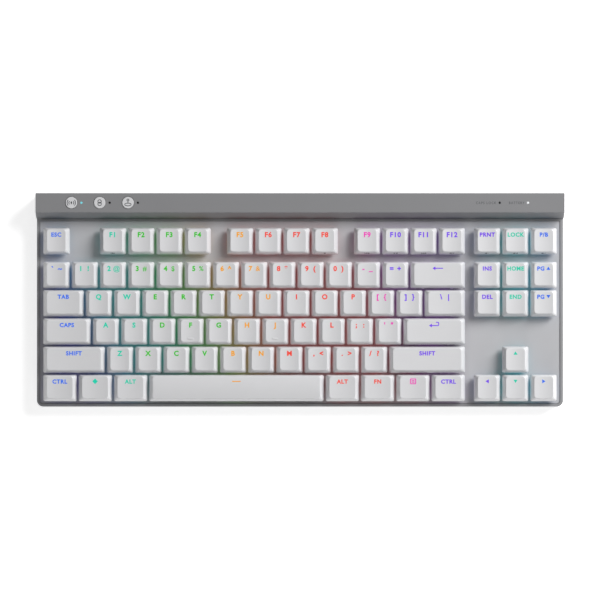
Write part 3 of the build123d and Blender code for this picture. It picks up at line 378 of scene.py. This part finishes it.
def outline(units, height, inset=0.0):
    """Points round a keycap at a height, in mm, anticlockwise seen from above."""
    share = (height - CAP_LOW) / (CAP_HIGH - CAP_LOW)
    half_x = (units * PITCH / MM - SKIRT_GAP) / 2 - CAP_SIDE * share - inset
    half_y = (PITCH / MM - SKIRT_GAP) / 2 - (CAP_FRONT + CAP_REAR) / 2 * share - inset
    radius = CAP_BASE_RADIUS + (CAP_TOP_RADIUS - CAP_BASE_RADIUS) * share - inset
    radius = max(radius, LEAST_RADIUS)
    shift = (CAP_FRONT - CAP_REAR) / 2 * share - SKIRT_FORWARD
    long_steps = int(5 + 4 * units)
    middles = [np.array((sx * (half_x - radius), sy * (half_y - radius))) for sx, sy in CORNERS]
    points = []
    for turn, middle in enumerate(middles):
        for step in range(ARC_STEPS + 1):
            angle = math.pi / 2 * (turn + step / ARC_STEPS)
            points.append(middle + radius * np.array((math.cos(angle), math.sin(angle))))
        start = points[-1]
        side = middles[(turn + 1) % len(middles)] - middle
        steps = SIDE_STEPS if turn % 2 else long_steps
        points += [start + side * step / steps for step in range(1, steps)]
    return np.array(points) + (0, shift)


print("points round a cap of one unit", len(outline(1, CAP_LOW)))


# %% A mesh from loops, for every width
def keycap_loops(units):
    """Loops of points in mm from inside the ceiling, round the skirt and up to the top."""
    foot, brow = outline(units, CAP_LOW), outline(units, CAP_HIGH)
    rim = top_height(units, brow[:, 0], brow[:, 1])

    def flank(height):
        share = ((height - CAP_LOW) / (CAP_HIGH - CAP_LOW))[:, None]
        return foot + (brow - foot) * share

    def level(points, height):
        return np.column_stack((points, np.broadcast_to(height, len(points))))

    ceiling = outline(units, CAP_CEILING, CAP_WALL)
    loops = [level(ceiling * s, CAP_CEILING) for s in (0.05, 0.5, 1.0)]
    for inset in (CAP_WALL, SKIRT_BEVEL):
        loops.append(level(outline(units, CAP_LOW, inset), CAP_LOW))
    straight = rim - CAP_EDGE - CAP_LOW
    for s in FLANK_SHARES:
        height = CAP_LOW + straight * s
        loops.append(level(flank(height), height))
    start, corner = loops[-1], level(flank(rim), rim)
    inner = outline(units, CAP_HIGH, CAP_EDGE)
    end = level(inner, top_height(units, inner[:, 0], inner[:, 1]))
    for s in EDGE_SHARES:
        loops.append(start * (1 - s) ** 2 + corner * 2 * s * (1 - s) + end * s**2)
    centre = inner.mean(axis=0)
    for s in TOP_SHARES:
        points = centre + (inner - centre) * s
        loops.append(level(points, top_height(units, points[:, 0], points[:, 1])))
    return loops


def loops_mesh(name, loops):
    """A closed mesh through loops with equal numbers of points, with both ends filled."""
    count = len(loops[0])
    points = np.vstack(loops) * MM
    faces = [tuple(reversed(range(count)))]
    for ring in range(len(loops) - 1):
        a, b = ring * count, (ring + 1) * count
        for i in range(count):
            j = (i + 1) % count
            faces.append((a + i, a + j, b + j, b + i))
    last = (len(loops) - 1) * count
    faces.append(tuple(range(last, last + count)))
    mesh = bpy.data.meshes.new(name)
    mesh.from_pydata(points.tolist(), [], faces)
    mesh.polygons.foreach_set("use_smooth", [True] * len(faces))
    return mesh


WIDTHS = sorted({key["units"] for key in KEYS})
cap_shapes = bpy.data.collections.new("cap_shapes")
for number, units in enumerate(WIDTHS):
    shape = loops_mesh(f"cap_{units}", keycap_loops(units))
    cap_shapes.objects.link(bpy.data.objects.new(f"cap_shape_{number}", shape))

# %% [markdown]
# ## The stem under each cap
# A short post hangs under the cap, and the switch's stem stands below it: a square body on a
# wider shoulder, with a pocket from below for the spring. Only a sliver of it shows from a low
# angle, so one plain moulded shape with few faces is enough, and it repeats under every key.

# %% One stem
POST_RADIUS, POST_SIDES = 2.8, 24
POST_LOW, POST_TOP = 14.42, 16.9           # the post ends inside the cap, in mm above the table
SHOULDER_LOW, SHOULDER_HIGH, BODY_TOP = 11.5, 12.3, 14.4
SHOULDER_HALF, BODY_HALF, POCKET_HALF = 4.2, 3.4, 2.3
CORNER_CUT = 0.3
SPRING_LOW, SPRING_HIGH = (corner.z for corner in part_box("switch_springs"))
POCKET_CEILING = SPRING_HIGH / MM + 0.02   # just clear of the spring's top


def arc(x, y, radius, start, end, steps=24, flat=1.0):
    """Points of an arc in mm, with angles in degrees. A flat below 1 makes it an oval."""
    turns = np.radians(np.linspace(start, end, steps))
    return np.column_stack((x + radius * np.cos(turns), y + radius * flat * np.sin(turns)))


def block_ring(half, height):
    """Eight points in mm round a square of half a width, with its corners cut off."""
    cut = min(CORNER_CUT, half / 2)
    side = [(half, half - cut), (half - cut, half), (cut - half, half), (-half, half - cut)]
    return np.array([(x, y, height) for x, y in side] + [(-x, -y, height) for x, y in side])


STEM_LOOPS = [
    block_ring(0.3, POCKET_CEILING), block_ring(POCKET_HALF, POCKET_CEILING),
    block_ring(POCKET_HALF, SHOULDER_LOW), block_ring(SHOULDER_HALF, SHOULDER_LOW),
    block_ring(SHOULDER_HALF, SHOULDER_HIGH), block_ring(BODY_HALF, SHOULDER_HIGH),
    block_ring(BODY_HALF, BODY_TOP),
]
post_circle = arc(0, 0, POST_RADIUS, 0, 360 - 360 / POST_SIDES, POST_SIDES)
POST_LOOPS = [np.column_stack((post_circle, np.full(POST_SIDES, height)))
              for height in (POST_LOW, POST_TOP)]
stem_shapes = bpy.data.collections.new("stem_shapes")
for name, loops in (("stem_body", STEM_LOOPS), ("stem_post", POST_LOOPS)):
    mesh = loops_mesh(name, loops)
    mesh.polygons.foreach_set("use_smooth", [False] * len(mesh.polygons))
    stem_shapes.objects.link(bpy.data.objects.new(name, mesh))

# %% [markdown]
# ## Placing the keys with geometry nodes
# 87 keys of eight widths repeat two kinds of shape. A small node tree puts a shape from a
# collection at each point of a mesh, and an attribute on the points picks the shape. The result
# is made real, because an export has no instances, and becomes one plain mesh for each body.
# Two helpers start and end every tree in the same way.

# %% The tree
def started_tree(name, sockets):
    """A new node tree with named inputs and one output, and the sockets that carry its inputs."""
    tree = bpy.data.node_groups.new(name, "GeometryNodeTree")
    for socket, kind in sockets.items():
        tree.interface.new_socket(socket, in_out="INPUT", socket_type=f"NodeSocket{kind}")
    tree.interface.new_socket("Pieces", in_out="OUTPUT", socket_type="NodeSocketGeometry")
    return tree, add(tree, "NodeGroupInput").outputs


def end_tree(tree, placed, material):
    """Makes placed instances real, gives them their material and sends them out."""
    real = add(tree, "GeometryNodeRealizeInstances", {"Geometry": placed.outputs["Instances"]})
    done = add(tree, "GeometryNodeSetMaterial", {
        "Geometry": real.outputs["Geometry"], "Material": material})
    add(tree, "NodeGroupOutput", {"Pieces": done.outputs["Geometry"]})


def placing_tree():
    """Puts shapes of a collection on points: all of them, or the one that "shape" picks."""
    tree, given = started_tree("shapes_on_points", {
        "Points": "Geometry", "Shapes": "Collection", "Pick One": "Bool", "Finish": "Material"})
    shapes = add(tree, "GeometryNodeCollectionInfo", {
        "Collection": given["Shapes"], "Separate Children": given["Pick One"],
        "Reset Children": True})
    which = add(tree, "GeometryNodeInputNamedAttribute", {"Name": "shape"}, data_type="INT")
    placed = add(tree, "GeometryNodeInstanceOnPoints", {
        "Points": given["Points"], "Instance": shapes.outputs["Instances"],
        "Pick Instance": given["Pick One"], "Instance Index": which.outputs["Attribute"]})
    end_tree(tree, placed, given["Finish"])
    return tree


PLACING = placing_tree()
print("nodes in the tree", len(PLACING.nodes))

# %% [markdown]
# ## Caps and stems on every body
# The keys of one cluster move together, so each body gets one mesh with all its caps and one with
# all its stems. The tree runs on a cloud of points, one for every key. Its result is copied into
# a plain mesh, and the cloud goes away together with its modifier.

# %% Caps and stems
def made_by_tree(name, tree, points, values, picks=()):
    """One plain object from a node tree run on points, with the tree's inputs by name."""
    cloud = bpy.data.meshes.new(name + "_points")
    cloud.from_pydata(points, [], [])
    if picks:
        cloud.attributes.new("shape", "INT", "POINT").data.foreach_set("value", picks)
    holder = bpy.data.objects.new(name + "_holder", cloud)
    scene.collection.objects.link(holder)
    modifier = holder.modifiers.new("making", "NODES")
    modifier.node_group = tree
    for socket in tree.interface.items_tree:
        if socket.name in values:
            modifier[socket.identifier] = values[socket.name]
    evaluated = holder.evaluated_get(bpy.context.evaluated_depsgraph_get())
    mesh = bpy.data.meshes.new_from_object(evaluated)
    bpy.data.objects.remove(holder)
    piece = bpy.data.objects.new(name, mesh)
    scene.collection.objects.link(piece)
    return piece


key_nodes = list(dict.fromkeys(key["node"] for key in KEYS))
for node in key_nodes:
    keys = [key for key in KEYS if key["node"] == node]
    places = [tuple(key["at"]) for key in keys]
    picks = [WIDTHS.index(key["units"]) for key in keys]
    cap_values = {"Shapes": cap_shapes, "Pick One": True, "Finish": KEYCAP}
    stem_values = {"Shapes": stem_shapes, "Pick One": False, "Finish": STEM}
    caps = made_by_tree("caps_" + node, PLACING, places, cap_values, picks)
    stems = made_by_tree("stems_" + node, PLACING, places, stem_values, picks)
    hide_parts(node)
    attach(caps, node)
    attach(stems, node)
print("key bodies", len(key_nodes))

# %% [markdown]
# ## A coil spring in every switch
# A steel spring under each stem pushes the key back up. It is a helix, and it repeats 87 times
# where nobody looks for long, so a node tree sweeps a six-sided wire along a spiral curve, puts
# it at every key and makes it real. The sizes are inputs, so the same tree makes any spring.
# Each key body has its own mesh of springs, which the case holds.

# %% Springs
SPRING = {"Turns": 4.0, "Coil Radius": 1.9 * MM, "Wire Radius": 0.16 * MM}
SPRING_STEPS, WIRE_SIDES = 16, 6           # faces along one turn, and round the wire


def spring_tree():
    """Puts a coil spring on every point, standing on the point."""
    tree, given = started_tree("springs_on_points", {
        "Points": "Geometry", "Turns": "Float", "Coil Radius": "Float",
        "Wire Radius": "Float", "Height": "Float", "Finish": "Material"})
    coil = add(tree, "GeometryNodeCurveSpiral", {
        "Resolution": SPRING_STEPS, "Rotations": given["Turns"], "Height": given["Height"],
        "Start Radius": given["Coil Radius"], "End Radius": given["Coil Radius"]})
    wire = add(tree, "GeometryNodeCurvePrimitiveCircle", {
        "Resolution": WIRE_SIDES, "Radius": given["Wire Radius"]})
    swept = add(tree, "GeometryNodeCurveToMesh", {
        "Curve": coil.outputs["Curve"], "Profile Curve": wire.outputs["Curve"], "Fill Caps": True})
    placed = add(tree, "GeometryNodeInstanceOnPoints", {
        "Points": given["Points"], "Instance": swept.outputs["Mesh"]})
    end_tree(tree, placed, given["Finish"])
    return tree


spring_floor = SPRING_LOW + SPRING["Wire Radius"]
SPRING["Height"] = SPRING_HIGH - SPRING["Wire Radius"] - spring_floor
SPRING["Finish"] = STEEL
SPRINGS = spring_tree()
for node in key_nodes:
    places = [(key["at"].x, key["at"].y, spring_floor) for key in KEYS if key["node"] == node]
    springs = made_by_tree("springs_" + node, SPRINGS, places, SPRING)
    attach(springs, "case")
    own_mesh(springs)
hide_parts("switch_springs")

# %% [markdown]
# ## Flat solids for signs
# Some signs are not letters: arrows, bars, rings and waves. Each is a stroke of even width or a
# plate with a few corners. Both are thin closed solids, so they can be laid on a curved top just
# like a letter, and they stay real shapes when the model is exported.

# %% Strokes and plates
def line(start, end, steps=8):
    """Evenly spaced points from start to end, in mm."""
    return np.linspace(start, end, steps)


def ribbon(points, width, z0=-1.0, z1=1.0):
    """A stroke of even width along open points in mm, as points and faces."""
    along = np.gradient(points, axis=0)
    along /= np.linalg.norm(along, axis=1)[:, None]
    side = np.column_stack((-along[:, 1], along[:, 0])) * width / 2
    count = len(points)
    left, right = points + side, points - side
    edges = ((left, z0), (right, z0), (right, z1), (left, z1))
    corners = np.vstack([np.column_stack((edge, np.full(count, z))) for edge, z in edges])
    faces = [(0, count, 2 * count, 3 * count), tuple(n * count + count - 1 for n in (3, 2, 1, 0))]
    for n in range(4):
        a, b = n * count, (n + 1) % 4 * count
        faces += [(a + i, a + i + 1, b + i + 1, b + i) for i in range(count - 1)]
    return corners, faces


def plate(corners, z0=-1.0, z1=1.0):
    """A flat solid with a few corners, given anticlockwise in mm, as points and faces."""
    count = len(corners)
    points = np.vstack([np.column_stack((corners, np.full(count, z))) for z in (z0, z1)])
    faces = [tuple(reversed(range(count))), tuple(range(count, 2 * count))]
    faces += [(i, (i + 1) % count, (i + 1) % count + count, i + count) for i in range(count)]
    return points, faces


print("corners of a straight stroke", len(ribbon(line((0, 0), (1, 0)), 0.1)[0]))

# %% Signs that no font has
SIGN_STROKE = 0.62
HEAD_LENGTH, HEAD_HALF = 1.9, 1.3


def arrow_head(x, y):
    """The filled head of an arrow that points left, with its tip at x, y."""
    return plate([(x, y), (x + HEAD_LENGTH, y - HEAD_HALF), (x + HEAD_LENGTH, y + HEAD_HALF)])


MENU_CORNERS = [(-1.75, -1.6), (1.75, -1.6), (1.75, 1.6), (-1.75, 1.6), (-1.75, -1.6)]
MENU_FRAME = [line(start, end) for start, end in zip(MENU_CORNERS, MENU_CORNERS[1:])]
MENU_LINES = [line((-0.95, y), (0.95, y)) for y in (-0.5, 0.5)]
HOOK = np.vstack([line((1.2, 1.7), (2.3, 1.7), 4), arc(2.3, 1.0, 0.7, 75, 0, 6),
                  arc(2.3, 0.2, 0.7, 0, -90, 6), line((2.0, -0.5), (-1.7, -0.5))])
DRAWN = {
    "←": [ribbon(line((3.5, 0), (-1.7, 0)), SIGN_STROKE), arrow_head(-3.5, 0)],
    "↵": [ribbon(HOOK, SIGN_STROKE), arrow_head(-3.5, -0.5)],
    "▤": [ribbon(stroke, SIGN_STROKE) for stroke in MENU_FRAME + MENU_LINES],
    "—": [ribbon(line((-2.9, 0), (2.9, 0)), SIGN_STROKE)],
    "◆": [plate([(-1.9, 0), (0, -1.9), (1.9, 0), (0, 1.9)])],
    "▲": [plate([(-1.35, -1.05), (1.35, -1.05), (0, 1.15)])],
    "▼": [plate([(-1.35, 1.05), (0, -1.15), (1.35, 1.05)])],
    "◄": [plate([(1.05, -1.35), (1.05, 1.35), (-1.15, 0)])],
    "►": [plate([(-1.05, -1.35), (1.15, 0), (-1.05, 1.35)])],
}
print("drawn signs", len(DRAWN))

# %% [markdown]
# ## Legends
# The real legends are clear plastic moulded into the white cap, so light shines through them in
# the colour below. Each is a glyph of the built-in font, thickened a little, turned to a mesh and
# bent onto the dished top, standing 0.03 mm proud. A key with two signs has them side by side.

# %% Glyphs as thin solids
WEIGHT, FINE_WEIGHT = 0.04, 0.012          # how much strokes are thickened, as a share of the size
SPACING = 1.14                             # letters of a word stand this much further apart
FINE_SIGNS = "@#$%&"                       # their small openings would close if thickened
MERGE_DISTANCE = 0.0005                    # doubled points of a glyph are closer than this
GLYPHS = {}


def mesh_data(mesh):
    """The points and the faces of a mesh."""
    return np.array([v.co for v in mesh.vertices]), [tuple(p.vertices) for p in mesh.polygons]


def glyph(text, spacing=SPACING, weight=WEIGHT):
    """Points and faces of a text in the font's own size, centred on X."""
    asked = (text, spacing, weight)
    if asked not in GLYPHS:
        curve = bpy.data.curves.new("glyph", "FONT")
        curve.body, curve.align_x, curve.resolution_u = text, "CENTER", 3
        curve.space_character = spacing
        curve.offset = FINE_WEIGHT if text in FINE_SIGNS else weight
        curve.extrude = 1.0
        holder = bpy.data.objects.new("glyph", curve)
        scene.collection.objects.link(holder)
        evaluated = holder.evaluated_get(bpy.context.evaluated_depsgraph_get())
        mesh = bpy.data.meshes.new_from_object(evaluated)
        solid = bmesh.new()
        solid.from_mesh(mesh)
        bmesh.ops.remove_doubles(solid, verts=solid.verts, dist=MERGE_DISTANCE)
        solid.to_mesh(mesh)
        solid.free()
        GLYPHS[asked] = mesh_data(mesh)
        bpy.data.objects.remove(holder)
        bpy.data.meshes.remove(mesh)
    return GLYPHS[asked]


CAPITAL = np.ptp(glyph("H")[0][:, 1])
print("capital height of the font", round(float(CAPITAL), 3))

# %% The signs of a key
LETTER_HEIGHT, WORD_HEIGHT = 3.5, 2.9
PAIR_OFFSET = 2.5                          # from the cap's middle to each sign of a pair
PAGE_WORD_PLACE, PAGE_ARROW_PLACE = -2.0, 3.1
LEGEND_MAX_WIDTH = 11.2


def legend_parts(key):
    """Each sign of a key as (text, middle X, height), in mm."""
    text = key["legend"]
    if text.startswith("PG"):
        return [("PG", PAGE_WORD_PLACE, WORD_HEIGHT), (text[2], PAGE_ARROW_PLACE, WORD_HEIGHT)]
    if len(text) == 2 and not text.isalnum():
        return [(text[0], -PAIR_OFFSET, LETTER_HEIGHT), (text[1], PAIR_OFFSET, LETTER_HEIGHT)]
    large = len(text) == 1 or text[1:].isdigit()
    return [(text, 0.0, LETTER_HEIGHT if large else WORD_HEIGHT)]


def sign_solids(text, height):
    """Solids of one sign in mm, standing on y = 0 and reaching from z = -1 to 1."""
    if text in DRAWN:
        return [(points + (0, height / 2, 0), faces) for points, faces in DRAWN[text]]
    points, faces = glyph(text)
    scale = height / CAPITAL
    across = min(scale, LEGEND_MAX_WIDTH / np.ptp(points[:, 0]))
    return [(points * (across, scale, 1), faces)]


print("signs on all the keys", sum(len(legend_parts(key)) for key in KEYS))

# %% Lay the legends
LEGEND_PROUD, LEGEND_SUNK = 0.03, 0.06     # mm above and below the cap's surface
LEGEND_BACK = 4.3                          # middle of a legend behind the cap's middle


def laid_on_top(key, points, middle, height):
    """Points of a sign moved onto a cap's curved top, in metres."""
    x = points[:, 0] + middle
    y = points[:, 1] + LEGEND_BACK - height / 2
    z = top_height(key["units"], x, y) + np.where(points[:, 2] > 0, LEGEND_PROUD, -LEGEND_SUNK)
    return np.column_stack((x, y, z)) * MM + np.array(key["at"])


def joined(name, parts, materials):
    """One object from parts of (points in metres, faces, material number)."""
    points, faces, numbers, start = [], [], [], 0
    for part_points, part_faces, number in parts:
        points.append(part_points)
        faces += [tuple(i + start for i in face) for face in part_faces]
        numbers += [number] * len(part_faces)
        start += len(part_points)
    mesh = bpy.data.meshes.new(name)
    mesh.from_pydata(np.vstack(points).tolist(), [], faces)
    for material in materials:
        mesh.materials.append(material)
    mesh.polygons.foreach_set("material_index", numbers)
    piece = bpy.data.objects.new(name, mesh)
    scene.collection.objects.link(piece)
    return piece


for node in key_nodes:
    keys = [key for key in KEYS if key["node"] == node]
    lights = sorted({key["light"] for key in keys})
    parts = []
    for key in keys:
        number = lights.index(key["light"])
        for text, middle, height in legend_parts(key):
            for points, faces in sign_solids(text, height):
                parts.append((laid_on_top(key, points, middle, height), faces, number))
    legends = joined("legends_" + node, parts, [LEGEND[letter] for letter in lights])
    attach(legends, node)
print("different signs", len(GLYPHS) + len(DRAWN))

# %% [markdown]
# ## Small marks on the front flanks
# Nine keys of the rear row have a second job, printed in dark ink on the flank that faces the
# typist: the light's level, play, skip and loudness. They are plain media signs made of little
# triangles and bars, and stand upright on the leaning flank.

# %% Marks in ink
MARK_PLACE = 0.42                          # up the flank, as a share of its height
INK_DEPTH = 0.02
MARK_SIZE = 1.2
BAR_THICK_HALF = 0.16                      # half the thickness of an upright bar
FLANK = math.hypot(CAP_FRONT, CAP_HIGH - CAP_LOW)
SKIRT_FRONT_EDGE = -(PITCH / MM - SKIRT_GAP) / 2 - SKIRT_FORWARD


def pointer(x, turn):
    """A small triangle at x that points right (1) or left (-1)."""
    back, tip, half = x - 0.5 * turn, x + 0.6 * turn, 0.75 * turn
    return plate([(back, -half), (tip, 0), (back, half)])


def bar(x, height=1.5):
    """A small upright bar at x."""
    left, right, top = x - BAR_THICK_HALF, x + BAR_THICK_HALF, height / 2
    return plate([(left, -top), (right, -top), (right, top), (left, top)])


SPEAKER = plate([(-1.3, -0.4), (-0.7, -0.4), (-0.1, -0.9), (-0.1, 0.9), (-0.7, 0.4), (-1.3, 0.4)])
LAMP = plate(arc(0, 0, 0.6, 0, 330, 12))
CROSS = [ribbon(line((0.3, -y), (1.3, y)), 0.25) for y in (0.6, -0.6)]
MARKS = {
    "F1": [LAMP, bar(-1.0, 0.9), bar(1.0, 0.9)],
    "F8": [LAMP],
    "F9": [bar(-1.2), pointer(-0.4, -1), pointer(0.7, -1)],
    "F10": [pointer(-0.4, 1), bar(0.6), bar(1.1)],
    "F11": [pointer(-0.7, 1), pointer(0.4, 1), bar(1.2)],
    "F12": [SPEAKER] + CROSS,
    "PRNT": [SPEAKER, bar(0.5, 0.8)],
    "LOCK": [SPEAKER, bar(0.5, 0.8), bar(1.1, 1.3)],
    "P/B": [SPEAKER, ribbon(line((0.25, 0), (1.25, 0)), 0.3)],
}


def on_front(key, points):
    """Flat points stood upright on a cap's front flank, in metres."""
    share = MARK_PLACE + points[:, 1] * MARK_SIZE / FLANK
    lift = np.sign(points[:, 2]) * INK_DEPTH
    y = SKIRT_FRONT_EDGE + CAP_FRONT * share - lift * (CAP_HIGH - CAP_LOW) / FLANK
    z = CAP_LOW + (CAP_HIGH - CAP_LOW) * share + lift * CAP_FRONT / FLANK
    return np.column_stack((points[:, 0] * MARK_SIZE, y, z)) * MM + np.array(key["at"])


for node in ("keys_f1_f4", "keys_f5_f8", "keys_f9_f12", "keys_print_lock_pause"):
    parts = []
    for key in KEYS:
        if key["node"] == node:
            for points, faces in MARKS.get(key["legend"], ()):
                parts.append((on_front(key, points), faces, 0))
    marks = joined("marks_" + node, parts, [INK])
    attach(marks, node)
print("marked keys", len(MARKS))

# %% [markdown]
# ## Homing bars
# The two keys under the forefingers carry a small raised bar near the front edge, so that hands
# find them without looking. Each is a low rounded ridge, 4 mm long.

# %% Bars on two keys
BAR_HALF, BAR_RISE, BAR_WIDE, BAR_PLACE = 2.0, 0.35, 0.45, -5.0
RIDGE_FACES = 12
RIDGE_END = ((0, 0.1), (0.2, 0.8), (0.45, 1.0))      # mm in from the end, and share of the size


def homing_bar(key):
    """A half-round ridge on a cap's top."""
    turns = np.linspace(0, 2 * math.pi, RIDGE_FACES, False)
    stations = [(back - BAR_HALF, size) for back, size in RIDGE_END]
    stations += [(-x, size) for x, size in reversed(stations)]
    rings = []
    for x, size in stations:
        y = BAR_PLACE + BAR_WIDE * size * np.cos(turns)
        z = top_height(1, x, y) + BAR_RISE * size * np.sin(turns)
        rings.append(np.column_stack((np.full(RIDGE_FACES, x), y, z)))
    points, faces = mesh_data(loops_mesh("ridge", rings))
    return points + np.array(key["at"]), faces, 0


for letter, node in (("F", "keys_asdfg"), ("J", "keys_hjkl")):
    key = next(key for key in KEYS if key["legend"] == letter)
    ridge = joined("homing_bar_" + letter.lower(), [homing_bar(key)], [KEYCAP])
    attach(ridge, node)
print("homing bars made")

# %% [markdown]
# ## Signs on the rear bar
# The three round buttons carry thin printed signs: radio waves, two linked rings and a game
# stick. They are strokes again, with their ends a hair above and below the button's face, so that
# they are closed solids that can't flicker against it.

# %% Signs on the buttons
BUTTON_STROKE = 0.5
PRINT_LOW, PRINT_HIGH = -0.04, 0.025       # mm below and above the printed surface
WAVES = [arc(0, 0, radius, turn - 42, turn + 42) for radius in (1.65, 2.8) for turn in (0, 180)]
SIGNS = {
    "button_wireless": WAVES + [line((0, -1.0), (0, 1.0)), arc(0, 0, 0.3, 0, 360)],
    "button_pairing": [arc(0, y, 1.15, 0, 360) for y in (-0.85, 0.85)],
    "button_game_mode": [arc(0, 1.8, 0.65, 0, 360), line((0, 1.2), (0, -0.6)),
                         arc(0, -1.2, 2.2, 0, 360, flat=0.42)],
}
for node, strokes in SIGNS.items():
    low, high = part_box(node)
    middle = np.array(((low.x + high.x) / 2, (low.y + high.y) / 2, high.z))
    solids = [ribbon(stroke, BUTTON_STROKE, PRINT_LOW, PRINT_HIGH) for stroke in strokes]
    parts = [(points * MM + middle, faces, 0) for points, faces in solids]
    sign = joined("sign_" + node, parts, [ICON])
    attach(sign, node)
print("button signs", len(SIGNS))

# %% [markdown]
# ## Status lights
# Five small clear lenses sit in the bar, one beside each button and two at the right. Each is a
# low dome on a straight sleeve, made of loops of points as the caps are. Two are lit and the
# others are dark smoked plastic, so the colours are chosen by a number for each lens.

# %% Lenses
light_low, light_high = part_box("indicator_lenses")
LENS_RADIUS = (light_high.y - light_low.y) / 2 / MM
LIGHTS_Y = (light_low.y + light_high.y) / 2
button_xs = [sum(corner.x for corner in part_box(node)) / 2 for node in SIGNS]
light_xs = [light_low.x + LENS_RADIUS * MM + x - button_xs[0] for x in button_xs]
light_xs += [light_high.x - LENS_RADIUS * MM - n * PITCH for n in (1, 0)]
LIT = {0: 1, 4: 2}                          # which light is on, and in which shade
LENS_SHADES = [glow("dark_smoked_lens", "3A3B3E", 0.0), glow("lit_cyan_lens", "7CD6E0", 0.85),
               glow("lit_white_lens", "F4F6F8", 0.85)]
# The outline of a lens from its middle below to its middle above: share of the radius, and mm up.
LENS_PROFILE = ((0.05, -3.0), (1.0, -3.0), (1.0, -0.1), (0.9, -0.02), (0.6, 0.05), (0.2, 0.08),
                (0.02, 0.08))
LENS_FACES = 24
parts = []
for number, x in enumerate(light_xs):
    turns = np.linspace(0, 2 * math.pi, LENS_FACES, False)
    circle = np.column_stack((np.cos(turns), np.sin(turns))) * LENS_RADIUS
    loops = [np.column_stack((circle * size, np.full(LENS_FACES, z))) for size, z in LENS_PROFILE]
    points, faces = mesh_data(loops_mesh("lens", loops))
    parts.append((points + (x, LIGHTS_Y, light_high.z), faces, LIT.get(number, 0)))
lenses = joined("status_lights", parts, LENS_SHADES)
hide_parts("indicator_lenses")
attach(lenses, "case")
print("status lights", len(light_xs))

# %% [markdown]
# ## Words beside the lights
# The two lights at the right have their meaning printed beside them. The words are glyphs of the
# same font, thinner and wider apart, stretched to their real size and laid flat on the bar.

# %% Words on the bar
WORD_ON_BAR, WORD_GAP = 1.8, 2.4           # height, and right end to the middle of the light
WIDE_SPACING, THIN_WEIGHT = 1.35, 0.006
# Each word, its width in mm and the place of its light.
LABELS = (("CAPS LOCK", 13.6, light_xs[3]), ("BATTERY", 10.4, light_xs[4]))
parts = []
for text, width, x in LABELS:
    points, faces = glyph(text, WIDE_SPACING, THIN_WEIGHT)
    points = points * (width / np.ptp(points[:, 0]), WORD_ON_BAR / CAPITAL, 1)
    z = np.where(points[:, 2] > 0, PRINT_HIGH, PRINT_LOW)
    across = points[:, 0] - points[:, 0].max() - WORD_GAP
    flat = np.column_stack((across, points[:, 1] - WORD_ON_BAR / 2, z)) * MM
    parts.append((flat + (x, LIGHTS_Y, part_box("rear_cover")[1].z), faces, 0))
labels = joined("bar_words", parts, [ICON])
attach(labels, "case")
print("words", len(LABELS))

# %% [markdown]
# ## Finishes for the parts that keep their shape
# The tray, bar, deck, switches, boards, wires and feet already have the right shape, so each only
# needs its own finish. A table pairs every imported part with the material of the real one.

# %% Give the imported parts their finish
REMADE = key_nodes + ["indicator_lenses", "switch_springs"]
PART_FINISH = {
    "bottom_case": TRAY, "rear_cover": BAR, "deck_plate": DECK, "main_board": BOARD,
    "damper_sheet": SILICONE, "key_leds": HOUSING, "switch_bases": NYLON, "switch_covers": HOUSING,
    "stabiliser_clips": STEM, "controller_board": BOARD, "usb_socket": STEEL,
    "button_board": BOARD, "battery_cell": FOIL, "ribbon_cable": SILICONE, "rubber_pads": RUBBER,
    "case_screws": STEEL, "power_slider": BAR,
}
for name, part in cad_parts.items():
    if name in REMADE:
        continue
    kind = name.split("_")[0]
    material = PART_FINISH.get(name) or {"foot": TRAY, "button": BUTTON, "stabiliser": STEEL}[kind]
    part.data.materials.clear()
    part.data.materials.append(material)
print("parts that keep their shape", len(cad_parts) - len(REMADE))
